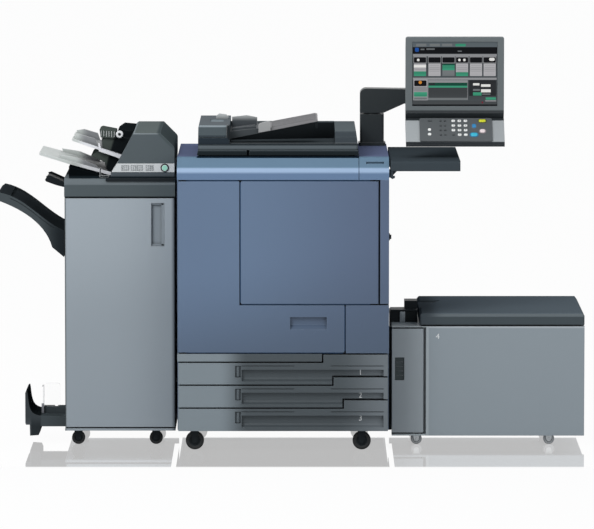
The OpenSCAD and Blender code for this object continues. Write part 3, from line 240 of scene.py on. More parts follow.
class Effects:
    """Builds the shared shader groups."""

    def build(self) -> None:
        """Builds each group once."""
        for make in (self._moulding, self._edges, self._dust_and_shade, self._sweep, self._brushing, self._display):
            make()

    def _moulding(self) -> None:
        """Colour drift, roughness drift and fine grain of a moulded or sprayed surface."""
        group = Group(
            Effect.MOULDING,
            {
                "Place": VECTOR, "Colour": COLOUR, "Drift Colour": COLOUR, "Drift": 0.5, "Patch Scale": 3.0,
                "Grain Scale": 900.0, "Roughness": 0.5, "Roughness Drift": 0.1,
            },
            {"Colour": COLOUR, "Roughness": FLOAT, "Height": FLOAT},
        )
        given, middle = group.given, 0.5
        patches = group.noise(given["Place"], given["Patch Scale"])
        grain = group.noise(given["Place"], given["Grain Scale"], 3.0)
        share = group.maths("MULTIPLY", patches, given["Drift"], clamp=True)
        change = group.maths(
            "ADD", group.maths("SUBTRACT", grain, middle), group.maths("SUBTRACT", patches, middle)
        )
        spread = group.maths("MULTIPLY", change, given["Roughness Drift"])
        group.feed(group.end, {
            "Colour": group.blend(share, given["Colour"], given["Drift Colour"]),
            "Roughness": group.maths("ADD", given["Roughness"], spread, clamp=True), "Height": grain,
        })

    def _edges(self) -> None:
        """Rounded normals along edges and a mask of where the surface turns."""
        group = Group(Effect.EDGES, {"Radius": 0.002, "Gain": 6.0}, {"Mask": FLOAT, "Normal": VECTOR})
        normal = group.add("Bevel", {"Radius": group.given["Radius"]}, samples=4)["Normal"]
        turn = group.along("DOT_PRODUCT", normal, group.add("NewGeometry")["True Normal"])["Value"]
        lean = group.maths("SUBTRACT", 1.0, turn, clamp=True)
        mask = group.maths("MULTIPLY", lean, group.given["Gain"], clamp=True)
        group.feed(group.end, {"Mask": mask, "Normal": normal})

    def _dust_and_shade(self) -> None:
        """Mask of painted shade in corners, from ambient occlusion, and of dust in patches on surfaces that
        face up.
        """
        reach, patch, steepness = 0.012, 14.0, 4.0
        group = Group(Effect.DUST, {"Place": VECTOR, "Corner Shade": 0.4, "Flats": 0.2}, {"Mask": FLOAT})
        given = group.given
        # Painted shade: ambient occlusion darkens corners and creases.
        corner = group.add("AmbientOcclusion", {"Distance": reach}, samples=4, only_local=True)["AO"]
        occlusion_shade = group.maths("SUBTRACT", 1.0, corner, clamp=True)
        up = group.maths("MAXIMUM", group.parts(group.add("NewGeometry")["Normal"])["Z"], 0.0)
        flat = group.maths(
            "MULTIPLY", group.maths("POWER", up, steepness), group.noise(given["Place"], patch)
        )
        total = group.maths(
            "ADD", group.maths("MULTIPLY", occlusion_shade, given["Corner Shade"]),
            group.maths("MULTIPLY", flat, given["Flats"]), clamp=True,
        )
        group.feed(group.end, {"Mask": total})

    def _sweep(self) -> None:
        """Share of a second tone that grows along a direction between two distances."""
        group = Group(
            Effect.SWEEP, {"Place": VECTOR, "Direction": VECTOR, "From": 0.0, "To": 1.0}, {"Mask": FLOAT}
        )
        given = group.given
        along = group.along("DOT_PRODUCT", given["Place"], given["Direction"])["Value"]
        inputs = {"Value": along, "From Min": given["From"], "From Max": given["To"]}
        ramp = group.add("MapRange", interpolation_type="SMOOTHSTEP", inputs=inputs)
        group.feed(group.end, {"Mask": ramp["Result"]})

    def _brushing(self) -> None:
        """Fine lines along one direction, for rolled or brushed metal."""
        group = Group(
            Effect.BRUSHING,
            {"Place": VECTOR, "Stretch": (8.0, 900.0, 900.0), "Roughness": 0.3, "Spread": 0.15},
            {"Roughness": FLOAT, "Height": FLOAT},
        )
        given = group.given
        lines = group.noise(group.along("MULTIPLY", given["Place"], given["Stretch"])["Vector"], 1.0)
        offset = group.maths("MULTIPLY", group.maths("SUBTRACT", lines, 0.5), given["Spread"])
        rough = group.maths("ADD", given["Roughness"], offset, clamp=True)
        group.feed(group.end, {"Roughness": rough, "Height": lines})

    def _display(self) -> None:
        """Glow of a lit display: a colour that fades downwards, with the fine grid of its cells."""
        group = Group(
            Effect.DISPLAY,
            {"Place": VECTOR, "Colour": COLOUR, "Cell": 2500.0, "Fade": 0.25, "Fade Length": 40.0},
            {"Colour": COLOUR},
        )
        given, grid_share, half = group.given, 0.12, 0.5
        parts = group.parts(given["Place"])
        cells = [
            group.maths("ABSOLUTE", group.maths("SINE", group.maths("MULTIPLY", parts[axis], given["Cell"])))
            for axis in ("X", "Z")
        ]
        grid = group.maths("MULTIPLY", group.maths("MULTIPLY", *cells), grid_share)
        wave = group.maths("SINE", group.maths("MULTIPLY", parts["Z"], given["Fade Length"]))
        fade = group.maths("ADD", group.maths("MULTIPLY", wave, half), half)
        dim = group.maths("ADD", grid, group.maths("MULTIPLY", fade, given["Fade"]), clamp=True)
        group.feed(group.end, {"Colour": group.blend(dim, given["Colour"], (0.0, 0.0, 0.0, 1.0))})


class MaterialSheet(NodeSheet):
    """The nodes of a new material."""

    def __init__(self, name: str) -> None:
        """Makes the material with a plain shader."""
        self.material = bpy.data.materials.new(name)
        self.material.use_nodes = True
        super().__init__(self.material.node_tree)
        self.place = self.add("TexCoord")["Object"]

    def effect(self, effect: Effect, inputs: Inputs) -> Outputs:
        """Adds a shared effect.

        Args:
            effect: The effect.
            inputs: Its inputs, apart from the point on the surface.

        Returns:
            Its outputs.
        """
        place = {} if effect is Effect.EDGES else {"Place": self.place}
        return self.add("Group", place | inputs, node_tree=bpy.data.node_groups[effect.value])

    def relief(self, height: Socket, depth: float, strength: float, normal: Socket) -> Socket:
        """Adds a bump over rounded edges."""
        inputs = {"Height": height, "Distance": depth, "Strength": strength, "Normal": normal}
        return self.add("Bump", inputs)["Normal"]

    def finish(self, inputs: Inputs) -> bpy.types.Material:
        """Feeds the plain shader and gives the material."""
        self.feed(self.tree.nodes["Principled BSDF"], inputs)
        return self.material


# ---------------------------------------------------------------------------
# Finishes
# ---------------------------------------------------------------------------


@dataclass(frozen=True)
class Sweep:
    """A second tone that takes over along a direction, in metres from the origin; it serves both for real
    changes of colour and for painted light and shade.
    """

    colour: str
    direction: tuple[float, float, float]
    start: float
    stop: float


@dataclass(frozen=True)
class Finish:
    """A sprayed, moulded or rubber surface.

    Attributes:
        name: The material's name.
        colour: Its main colour.
        drift: The colour that it drifts to in soft patches.
        drift_share: How far it drifts.
        patch: Patches to a metre.
        roughness: How dull it is.
        edge: The painted highlight tone of its rounded edges.
        edge_highlight_share: How far the edges take that painted highlight.
        edge_radius: Radius of the rounded edges.
        roughness_drift: How much the roughness varies.
        grain: Grains to a metre.
        grain_depth: Height of the grain.
        grain_strength: How strongly the grain shows.
        corners: How much painted shade darkens its corners.
        flats: How much dust lies on surfaces that face up.
        dust_and_shade: Colour of that painted corner shade and of the dust.
        coat: Clear coat over it.
        coat_roughness: Roughness of the clear coat.
        specular: How strongly it mirrors.
        sweeps: Further tones, each along one direction.
    """

    name: str
    colour: str
    drift: str
    drift_share: float = 0.5
    patch: float = 3.0
    roughness: float = 0.5
    edge: str = "c8ced2"
    edge_highlight_share: float = 0.25
    edge_radius: float = 0.002
    roughness_drift: float = 0.12
    grain: float = 1100.0
    grain_depth: float = 0.00012
    grain_strength: float = 0.6
    corners: float = 0.5
    flats: float = 0.12
    dust_and_shade: str = "23272b"
    coat: float = 0.0
    coat_roughness: float = 0.15
    specular: float = 0.35
    sweeps: tuple[Sweep, ...] = ()

    def build(self) -> bpy.types.Material:
        """Makes the material.

        Returns:
            The new material.
        """
        sheet = MaterialSheet(self.name)
        surface = sheet.effect(Effect.MOULDING, {
            "Colour": linear(self.colour), "Drift Colour": linear(self.drift), "Drift": self.drift_share,
            "Patch Scale": self.patch, "Grain Scale": self.grain, "Roughness": self.roughness,
            "Roughness Drift": self.roughness_drift,
        })
        tone = surface["Colour"]
        for sweep in self.sweeps:
            inputs = {"Direction": sweep.direction, "From": sweep.start, "To": sweep.stop}
            tone = sheet.blend(sheet.effect(Effect.SWEEP, inputs)["Mask"], tone, linear(sweep.colour))
        edges = sheet.effect(Effect.EDGES, {"Radius": self.edge_radius})
        # Painted highlight: the rounded edges take a lighter tone.
        tone = sheet.blend(sheet.maths("MULTIPLY", edges["Mask"], self.edge_highlight_share), tone, linear(self.edge))
        # Corners darken with painted shade and faces that look up take dust, both in one colour.
        dust_and_shade_mask = sheet.effect(Effect.DUST, {"Corner Shade": self.corners, "Flats": self.flats})
        return sheet.finish({
            "Base Color": sheet.blend(dust_and_shade_mask["Mask"], tone, linear(self.dust_and_shade)),
            "Roughness": surface["Roughness"], "Specular IOR Level": self.specular,
            "Normal": sheet.relief(
                surface["Height"], self.grain_depth, self.grain_strength, edges["Normal"]
            ),
            "Coat Weight": self.coat, "Coat Roughness": self.coat_roughness,
        })


@dataclass(frozen=True)
class MetalFinish:
    """Bare or plated metal with fine lines along one direction."""

    name: str
    colour: str
    roughness: float = 0.32
    spread: float = 0.18
    stretch: tuple[float, float, float] = (12.0, 700.0, 700.0)
    edge_radius: float = 0.001
    dust_and_shade: str = "2b2d2f"
    line_depth: float = 0.00003
    line_strength: float = 0.5

    def build(self) -> bpy.types.Material:
        """Makes the material.

        Returns:
            The new material.
        """
        sheet = MaterialSheet(self.name)
        lines = sheet.effect(
            Effect.BRUSHING, {"Stretch": self.stretch, "Roughness": self.roughness, "Spread": self.spread}
        )
        # Corners darken with painted shade and faces that look up take dust, both in one colour.
        dust_and_shade_mask = sheet.effect(Effect.DUST, {})
        edges = sheet.effect(Effect.EDGES, {"Radius": self.edge_radius})
        return sheet.finish({
            "Base Color": sheet.blend(dust_and_shade_mask["Mask"], linear(self.colour), linear(self.dust_and_shade)),
            "Metallic": 1.0, "Roughness": lines["Roughness"],
            "Normal": sheet.relief(lines["Height"], self.line_depth, self.line_strength, edges["Normal"]),
        })


@dataclass(frozen=True)
class ClearFinish:
    """Glass or clear plastic, faintly uneven and smudged."""

    name: str
    colour: str
    roughness: float
    transmission: float
    ior: float
    smudge: float = 0.06
    patch: float = 9.0
    grain: float = 160.0

    def build(self) -> bpy.types.Material:
        """Makes the material.

        Returns:
            The new material.
        """
        sheet = MaterialSheet(self.name)
        surface = sheet.effect(Effect.MOULDING, {
            "Colour": linear(self.colour), "Drift Colour": linear(self.colour), "Patch Scale": self.patch,
            "Grain Scale": self.grain, "Roughness": self.roughness, "Roughness Drift": self.smudge,
        })
        return sheet.finish({
            "Base Color": surface["Colour"], "Roughness": surface["Roughness"],
            "Transmission Weight": self.transmission, "IOR": self.ior,
        })


@dataclass(frozen=True)
class LitFinish:
    """A lit part of a display."""

    name: str
    colour: str
    fade: float = 0.22
    fade_length: float = 60.0
    strength: float = 0.9
    glass: Tone = (0.004, 0.004, 0.005, 1.0)
    roughness: float = 0.35
    specular: float = 0.05

    def build(self) -> bpy.types.Material:
        """Makes the material.

        Returns:
            The new material.
        """
        sheet = MaterialSheet(self.name)
        inputs = {"Colour": linear(self.colour), "Fade": self.fade, "Fade Length": self.fade_length}
        glow = sheet.effect(Effect.DISPLAY, inputs)
        return sheet.finish({
            "Emission Color": glow["Colour"], "Emission Strength": self.strength, "Base Color": self.glass,
            "Roughness": self.roughness, "Specular IOR Level": self.specular,
        })


# What the broad dark faces share, which neither mirror nor gather dust.
DULL = {"specular": 0.0, "flats": 0.0}
PAINTED = {"roughness_drift": 0.08, "coat": 0.1, "edge_radius": 0.0025}


class Paint(Enum):
    """The finishes that several pieces or nodes share."""

    # Painted shade: the blue turns darker towards the right and towards the bottom.
    ENGINE_BLUE = Finish(
        "engine_blue_paint", "61758f", "596c86", 0.6, 1.6, 0.42, "93a7c0", 0.4, coat_roughness=0.3, **PAINTED,
        sweeps=(Sweep("53627b", RIGHT, -0.2, 0.42), Sweep("49586c", (0.2, 0.0, -0.98), -0.72, -0.25)),
    )
    # Painted light and shade on the rim: a lighter tone over its front slope, a bright painted highlight band
    # along its rounded nose and a darker tone on the upright face below it.
    RIM_BLUE = Finish(
        "engine_rim_paint", "666f8d", "616b88", 0.5, 1.6, 0.4, "a9bdd6", 0.3, roughness_drift=0.08,
        specular=0.0, sweeps=(
            Sweep("6a849a", FRONT, 0.385, 0.4), Sweep("9db4d0", DOWN, -1.0238, -1.0168),
            Sweep("687f9d", DOWN, -1.009, -0.998),
        ),
    )
    # Painted shade: the grey turns darker towards the bottom and takes a dark band at its right edge beside
    # the engine; it is also darker at its far left edge.
    FINISHER_GREY = Finish(
        "finisher_grey_paint", "9ca5ac", "959ea5", 0.6, 1.6, 0.44, "b9c1c6", 0.45, coat_roughness=0.35,
        specular=0.3, **PAINTED, sweeps=(
            Sweep("8d969d", (0.15, 0.0, -0.98), -0.95, -0.5), Sweep("26313c", RIGHT, -0.432, -0.414),
            Sweep("6f777b", LEFT, 0.806, 0.812),
        ),
    )
    # Painted shade: the fronts turn darker from the left towards their recessed middle and lighter again
    # towards the right.
    TRAY_GREY = Finish(
        "tray_front_plastic", "7f898f", "788288", 0.5, 2.5, 0.45, "9aa3a9", specular=0.2,
        sweeps=(Sweep("495054", RIGHT, -0.26, -0.15), Sweep("6b7277", RIGHT, 0.16, 0.36)),
    )
    INNER = Finish("inner_cover_plastic", "32373b", "2a2f33", 0.6, 5.0, 0.6, "5a6165", 0.3)
    BLACK = Finish(
        "moulded_black", "1a1f22", "22272a", 0.6, 6.0, 0.45, "50575b", 0.35, 0.0015, specular=0.08
    )
    SILVER = Finish("moulded_silver", "b4b7b9", "a7abae", 0.6, 5.0, 0.34, "eceeef", 0.4, 0.0015, coat=0.2)
    WHITE = Finish("white_plastic", "e8eaea", "dcdfe0", 0.6, 8.0, 0.4, "ffffff", corners=0.1)
    RUBBER = Finish(
        "tyre_rubber", "191b1c", "232526", 0.7, 20.0, 0.7, "3a3d3f", roughness_drift=0.2, grain=1500.0,
        grain_depth=0.0003, flats=0.35, dust_and_shade="5c5a56",
    )
    STEEL = MetalFinish("zinc_plated_sheet", "b9bdbf", 0.38)
    # A dark blue strip that stands in for the shade in the door gaps: painted shade.
    GAP_SHADE = Finish(
        "painted_gap_shade_blue", "3c5472", "324862", 0.5, 30.0, 0.7, edge_highlight_share=0.0, corners=0.3, specular=0.1
    )


Recipe = Paint | Finish | MetalFinish | ClearFinish | LitFinish


# ---------------------------------------------------------------------------
# Shapes
# ---------------------------------------------------------------------------


def laid(at: Point) -> Matrix:
    """A transform that turns the Z axis to the Y axis and moves the origin to a point."""
    turn = Vector((0.0, 0.0, 1.0)).rotation_difference(Vector((0.0, 1.0, 0.0)))
    return Matrix.Translation(Vector(at)) @ turn.to_matrix().to_4x4()


@dataclass(frozen=True)
class Box:
    """A box in the frame, with its lowest and highest corners."""

    low: Vector
    high: Vector

    @classmethod
    def of(cls, node: str) -> Box:
        """The box round a frame node."""
        return cls(*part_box(node))

    @property
    def centre(self) -> Vector:
        """The middle of the box."""
        return (self.low + self.high) / 2

    @property
    def size(self) -> Vector:
        """The box's width, depth and height."""
        return self.high - self.low


def islands(node: str) -> list[Box]:
    """Finds the box of each loose part of a frame node, from left to right.

    Args:
        node: The node's name.

    Returns:
        One box for each solid.
    """
    copy = bmesh.new()
    copy.from_mesh(bpy.data.objects[node].data)
    bmesh.ops.remove_doubles(copy, verts=copy.verts[:], dist=SAME)
    left, found = set(copy.verts), []
    while left:
        stack, island = [left.pop()], []
        while stack:
            vert = stack.pop()
            island.append(vert.co.copy())
            near = {edge.other_vert(vert) for edge in vert.link_edges} & left
            left -= near
            stack += near
        corners = (Vector(pick(co[i] for co in island) for i in range(3)) for pick in (min, max))
        found.append(Box(*corners))
    copy.free()
    return sorted(found, key=lambda box: tuple(box.low))


def shift(x: float, y: float, z: float) -> Matrix:
    """A transform that moves by a distance."""
    return Matrix.Translation((x, y, z))


def facing_front(x: float, y: float, z: float) -> Matrix:
    """A plane at a point whose Z axis looks towards the front and whose Y axis looks up."""
    return shift(x, y, z) @ Matrix.Rotation(math.radians(90), 4, "X")


def rounded(
    part: bmesh.types.BMesh, items: Iterable[object], radius: float, steps: int, affect: str = "EDGES"
) -> Iterable[bmesh.types.BMFace]:
    """Bevels edges or corners of a part, if the radius isn't zero.

    Args:
        part: The part.
        items: Its edges or corners.
        radius: The radius.
        steps: Steps of the rounding.
        affect: What is bevelled, edges or vertices.

    Returns:
        The faces of the rounding, or all faces if there is none.
    """
    if radius == 0:
        return part.faces
    return bmesh.ops.bevel(
        part, geom=list(items), offset=radius, segments=steps, profile=0.5, affect=affect, material=-1
    )["faces"]


def paint(faces: Iterable[bmesh.types.BMFace], material: int) -> None:
    """Gives faces a material index."""
    for face in faces:
        face.material_index = material


class Shape:
    """A mesh that grows part by part."""

    def __init__(self) -> None:
        """Starts with an empty mesh."""
        self.mesh = bmesh.new()

    def take(self, part: bmesh.types.BMesh, turn: Matrix = Matrix()) -> None:
        """Takes in a finished part.

        Args:
            part: The part, which is freed.
            turn: Its transform.
        """
        part.transform(turn)
        mesh = bpy.data.meshes.new("part")
        part.to_mesh(mesh)
        part.free()
        self.mesh.from_mesh(mesh)
        bpy.data.meshes.remove(mesh)

    def block(
        self, low: Point, high: Point, bevel: float, steps: int = 2, material: int = 0,
        turn: Matrix = Matrix(),
    ) -> None:
        """Adds a block with rounded edges, whose flat faces have the first material.

        Args:
            low: Its lowest corner.
            high: Its highest corner.
            bevel: Radius of its edges.
            steps: Steps of the rounding.
            material: The material index of the rounding.
            turn: Its transform.
        """
        low, high = Vector(low), Vector(high)
        matrix = Matrix.Translation((low + high) / 2) @ Matrix.Diagonal((*(high - low), 1.0))
        part = bmesh.new()
        bmesh.ops.create_cube(part, size=1.0, matrix=matrix)
        part.transform(turn)
        paint(rounded(part, part.edges, bevel, steps), material)
        self.take(part)

    def rod(
        self, centre: Point, radius: float, length: float, sides: int, bevel: float = 0.0, material: int = 0
    ) -> None:
        """Adds a round rod along the Y axis.

        Args:
            centre: Its middle.
            radius: Its radius.
            length: Its length.
            sides: Sides round it.
            bevel: Radius of its two rims.
            material: The material index of its rims, or of all of it where they aren't rounded.
        """
        part = bmesh.new()
        bmesh.ops.create_cone(
            part, cap_ends=True, segments=sides, radius1=radius, radius2=radius, depth=length,
            matrix=laid(centre),
        )
        rims = [edge for edge in part.edges if any(len(face.verts) > 4 for face in edge.link_faces)]
        paint(rounded(part, rims, bevel, 2), material)
        self.take(part)

    def slab(
        self, size: Sequence[float], corner: float, thickness: float, matrix: Matrix, crown: float = 0.0,
        material: int = 0,
    ) -> None:
        """Adds a flat slab with round corners, standing on its own ground plane.

        Args:
            size: Its width and height in that plane.
            corner: Radius of its corners.
            thickness: How far it rises.
            matrix: Where the plane lies.
            crown: Radius of its upper rim.
            material: Its material index.
        """
        part = bmesh.new()
        ground = bmesh.ops.create_grid(
            part, x_segments=1, y_segments=1, size=0.5, matrix=Matrix.Diagonal((*size, 1.0, 1.0))
        )
        rounded(part, ground["verts"], corner, 4, "VERTICES")
        grown = bmesh.ops.extrude_face_region(part, geom=part.faces[:])["geom"]
        lid = [item for item in grown if isinstance(item, bmesh.types.BMFace)]
        top = [item for item in grown if isinstance(item, bmesh.types.BMVert)]
        bmesh.ops.translate(part, vec=(0, 0, thickness), verts=top)
        rounded(part, {edge for face in lid for edge in face.edges}, crown, 3)
        bmesh.ops.recalc_face_normals(part, faces=part.faces[:])
        paint(part.faces, material)
        self.take(part, matrix)

    def revolved(
        self, profile: Sequence[tuple[float, float]], centre: Point, steps: int, materials: Sequence[int]
    ) -> None:
        """Spins an outline about the Y axis.

        Args:
            profile: Places along the axis and radii, from one end to the other.
            centre: The point on the axis where the places start.
            steps: Steps of a full turn.
            materials: The material index of each stretch of the outline, the last one for the rest.
        """
        part = bmesh.new()
        verts = [part.verts.new((radius, 0.0, place)) for place, radius in profile]
        for pair in zip(verts, verts[1:]):
            part.edges.new(pair)
        bmesh.ops.spin(
            part, geom=part.verts[:] + part.edges[:], cent=(0, 0, 0), axis=(0, 0, 1), angle=math.tau,
            steps=steps, use_merge=True,
        )
        bmesh.ops.remove_doubles(part, verts=part.verts[:], dist=SAME)
        bmesh.ops.recalc_face_normals(part, faces=part.faces[:])
        stretches = [((a[0] + b[0]) / 2, (a[1] + b[1]) / 2) for a, b in zip(profile, profile[1:])]
        for face in part.faces:
            middle = face.calc_center_median()
            reach = math.hypot(middle.x, middle.y)
            away = [abs(middle.z - place) + abs(reach - radius) for place, radius in stretches]
            face.material_index = materials[min(away.index(min(away)), len(materials) - 1)]
        self.take(part, laid(centre))

    def numeral(self, sign: str, height: float, rise: float, matrix: Matrix, material: int = 0) -> None:
        """Adds a plain numeral that stands up from a surface.

        Args:
            sign: The numeral.
            height: Its height.
            rise: How far it stands up.
            matrix: Where its middle lies; its front looks along the matrix's Z axis.
            material: Its material index.
        """
        cap_share = 0.72
        curve = bpy.data.curves.new("numeral", "FONT")
        curve.body, curve.size, curve.extrude = sign, height / cap_share, rise / 2
        curve.align_x, curve.align_y, curve.resolution_u = "CENTER", "CENTER", 4
        holder = bpy.data.objects.new("numeral", curve)
        mesh = bpy.data.meshes.new_from_object(holder)
        part = bmesh.new()
        part.from_mesh(mesh)
        paint(part.faces, material)
        self.take(part, matrix @ shift(0, 0, rise / 2))
        bpy.data.objects.remove(holder)
        bpy.data.curves.remove(curve)
        bpy.data.meshes.remove(mesh)

    def screw(self, at: Point, radius: float, materials: tuple[int, int]) -> None:
        """Adds a low screw head with a hexagon socket on a surface that looks to the rear.

        Args:
            at: The point on the surface.
            radius: Radius of the head.
            materials: Material indices of the head and of its socket.
        """
        rise, mark = radius * 0.45, 0.0002
        self.rod(Vector(at) + Vector((0, rise / 2, 0)), radius, rise, 20, radius * 0.2, materials[0])
        self.rod(Vector(at) + Vector((0, rise, 0)), radius * 0.45, mark, 6, material=materials[1])


class Workshop:
    """Makes materials once and dresses pieces and frame nodes with them."""

    def __init__(self, nodes: dict[str, bpy.types.Object]) -> None:
        """Takes the frame's nodes."""
        self.nodes = nodes
        self.made: dict[str, bpy.types.Material] = {}

    def material(self, finish: Recipe) -> bpy.types.Material:
        """Gives a finish's material, and makes it at its first use.

        Args:
            finish: The finish, or its entry among the shared ones.

        Returns:
            The material.
        """
        recipe = finish.value if isinstance(finish, Enum) else finish
        if recipe.name not in self.made:
            self.made[recipe.name] = recipe.build()
        return self.made[recipe.name]

    def dress(self, wear: dict[str, Recipe]) -> None:
        """Gives frame nodes their finishes.

        Args:
            wear: The finish of each set of nodes, whose names have spaces between them.
        """
        for names, finish in wear.items():
            for name in names.split():
                data = self.nodes[name].data
                data.materials.clear()
                data.materials.append(self.material(finish))
                data.polygons.foreach_set("material_index", [0] * len(data.polygons))
                LOG.info("dressed %s in %s", name, data.materials[0].name)

    def place(
        self, name: str, shape: Shape, finishes: Iterable[Recipe], body: Body = Body.PRINTER,
        smooth: float = 35.0,
    ) -> bpy.types.Object:
        """Makes an object of a shape and lets it ride on a body.

        Args:
            name: The piece's name.
            shape: The shape, which is freed.
            finishes: The finish of each material index.
            body: The body that it rides on.
            smooth: Edges turn smoothly up to this angle in degrees.

        Returns:
            The new object.
        """
        mesh = bpy.data.meshes.new(name)
        shape.mesh.to_mesh(mesh)
        shape.mesh.free()
        mesh.shade_smooth()
        mesh.set_sharp_from_angle(angle=math.radians(smooth))
        for finish in finishes:
            mesh.materials.append(self.material(finish))
        piece = add_object(name, mesh)
        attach(piece, body.value)
        LOG.info("made %s with %d faces on %s", name, len(mesh.polygons), body.value)
        return piece


# ---------------------------------------------------------------------------
# Stage
# ---------------------------------------------------------------------------


@dataclass
class Studio:
    """Camera, floor, backdrop and lamps."""

    aim: Point = (0.025, -0.496, 0.674)
    camera_at: Point = (0.025, -20.496, 2.670)
    lens: float = 339.8
    sensor: float = 36.0
    sight: float = 200.0
    floor_size: float = 60.0
    sky: Tone = (0.93, 0.96, 1.0, 1.0)
    sky_strength: float = 0.5
    floor_tone: Tone = (0.82, 0.82, 0.82, 1.0)
    floor_glow: float = 0.93
    floor_roughness: float = 0.03
    mirror_share: float = 0.5
    mirror_end: float = -0.92
    mirror_fade: float = 0.02
    joints: tuple[float, ...] = (-0.41, 0.36)
    joint_gap: float = 0.009
    joint_end: float = -0.3
    lit_point: Point = (0.0, 0.0, 0.6)
    lamps: tuple[tuple[str, Point, float, float], ...] = (
        ("key_lamp", (-2.6, -4.2, 4.4), 2.6, 170.0), ("fill_lamp", (3.6, -4.6, 2.2), 3.0, 45.0),
        ("top_lamp", (0.0, 0.6, 4.6), 3.2, 25.0),
    )

    def build(self) -> None:
        """Makes everything that isn't part of the line."""
        self._camera()
        self._world()
        self._floor()
        for name, at, size, power in self.lamps:
            data = bpy.data.lights.new(name, "AREA")
            data.energy, data.size = power, size
            add_object(name, data, at, self.lit_point)
        bpy.context.scene.view_settings.view_transform = "Standard"

    def _camera(self) -> None:
        """A long lens from a little above, square to the front."""
        data = bpy.data.cameras.new("front_camera")
        data.lens, data.sensor_width, data.clip_end = self.lens, self.sensor, self.sight
        bpy.context.scene.camera = add_object("front_camera", data, self.camera_at, self.aim)

    def _world(self) -> None:
        """An even light that shows as white where nothing stands."""
        world = bpy.data.worlds.new("studio_light")
        world.use_nodes = True
        bpy.context.scene.world = world
        sheet, nodes = NodeSheet(world.node_tree), world.node_tree.nodes
        light = sheet.feed(nodes["Background"], {"Color": self.sky, "Strength": self.sky_strength})
        white = sheet.add("Background", {"Color": WHITE, "Strength": 1.0})
        path = sheet.add("LightPath")
        seen = sheet.maths("MAXIMUM", path["Is Camera Ray"], path["Is Transmission Ray"])
        seen = sheet.maths("MAXIMUM", seen, path["Is Glossy Ray"], clamp=True)
        sheet.feed(nodes["World Output"], {"Surface": sheet.overlay(seen, light[0], white[0])})

    def _floor(self) -> None:
        """A white polished floor that mirrors what stands near and keeps a soft shadow."""
        shape, mesh = bmesh.new(), bpy.data.meshes.new("studio_floor")
        bmesh.ops.create_grid(shape, x_segments=8, y_segments=8, size=self.floor_size)
        shape.to_mesh(mesh)
        shape.free()
        floor = add_object("studio_floor", mesh)
        mesh.materials.append(self._floor_material())

    def _floor_material(self) -> bpy.types.Material:
        """Makes it white for the camera and matt for light, with a mirror that ends at the front.

        Returns:
            The floor's material.
        """
        sheet = MaterialSheet("polished_floor")
        nodes = sheet.tree.nodes
        nodes.remove(nodes["Principled BSDF"])
        matt = sheet.add("BsdfDiffuse", {"Color": self.floor_tone})
        white = sheet.add("Emission", {"Strength": 1.0})
        gloss = sheet.add("BsdfGlossy", {"Roughness": self.floor_roughness, "Color": WHITE})
        path = sheet.add("LightPath")
        seen = sheet.maths("MAXIMUM", path["Is Camera Ray"], path["Is Transmission Ray"])
        lit = sheet.overlay(sheet.maths("MULTIPLY", seen, self.floor_glow), matt[0], white[0])
        parts = sheet.add("SeparateXYZ", {0: sheet.place})
        edge = sheet.add("MapRange", {
            "From Min": self.mirror_end - self.mirror_fade, "From Max": self.mirror_end + self.mirror_fade,
            "To Max": self.mirror_share, "Value": parts["Y"],
        }, interpolation_type="SMOOTHSTEP")
        share = sheet.maths("MULTIPLY", edge["Result"], path["Is Camera Ray"])
        for joint in self.joints:
            away = sheet.maths("ABSOLUTE", sheet.maths("SUBTRACT", parts["X"], joint))
            behind = sheet.maths("SUBTRACT", parts["Y"], self.joint_end)
            clear = sheet.maths("GREATER_THAN", sheet.maths("MAXIMUM", away, behind), self.joint_gap)
            share = sheet.maths("MULTIPLY", share, clear)
        sheet.feed(nodes["Material Output"], {"Surface": sheet.overlay(share, lit, gloss[0])})
        return sheet.material


# ---------------------------------------------------------------------------
# The line's sub-assemblies
# ---------------------------------------------------------------------------


@dataclass
class Castors:
    """Twin-flanged castor wheels with a tyre, a hub and a bolt, in place of the plain ones."""

    shop: Workshop
    hub_share: float = 0.62
    cap_share: float = 0.26

    def build(self) -> None:
        """Makes the wheels of each unit."""
        self.shop.dress({"castor_forks": Paint.BLACK, "feeder_castor_forks": Paint.STEEL})
        for node, tyre, hub in (
            ("castor_wheels", Paint.RUBBER, Paint.BLACK), ("feeder_castor_wheels", Paint.SILVER, Paint.STEEL)
        ):
            shape = Shape()
            for box in islands(node):
                self._wheel(shape, box)
            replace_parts(self.shop.place(f"{node}_turned", shape, (tyre, hub, Paint.STEEL)), node)

    def _wheel(self, shape: Shape, box: Box) -> None:
        """Adds a wheel with its bolts.

        Args:
            shape: The shape that it goes into.
            box: The box round the plain wheel.
        """
        radius, half = box.size.z / 2, box.size.y / 2
        rim, cap = radius * self.hub_share, radius * self.cap_share
        outline = (
            (0.9, 0.0), (0.9, cap * 0.8), (0.72, cap), (0.66, rim * 0.86), (0.86, rim * 0.93), (0.86, rim),
            (0.95, rim * 1.06), (1.0, radius * 0.86), (0.72, radius),
        )
        profile = [(-half * place, reach) for place, reach in outline]
        profile += [(half * place, reach) for place, reach in reversed(outline)]
        shape.revolved(profile, box.centre, 40, [1] * 5 + [0] * 7 + [1] * 5)
        for side in (-1, 1):
            bolt = box.centre + Vector((0, side * half * 0.88, 0))
            shape.rod(bolt, cap * 0.45, half * 0.16, 6, material=2)


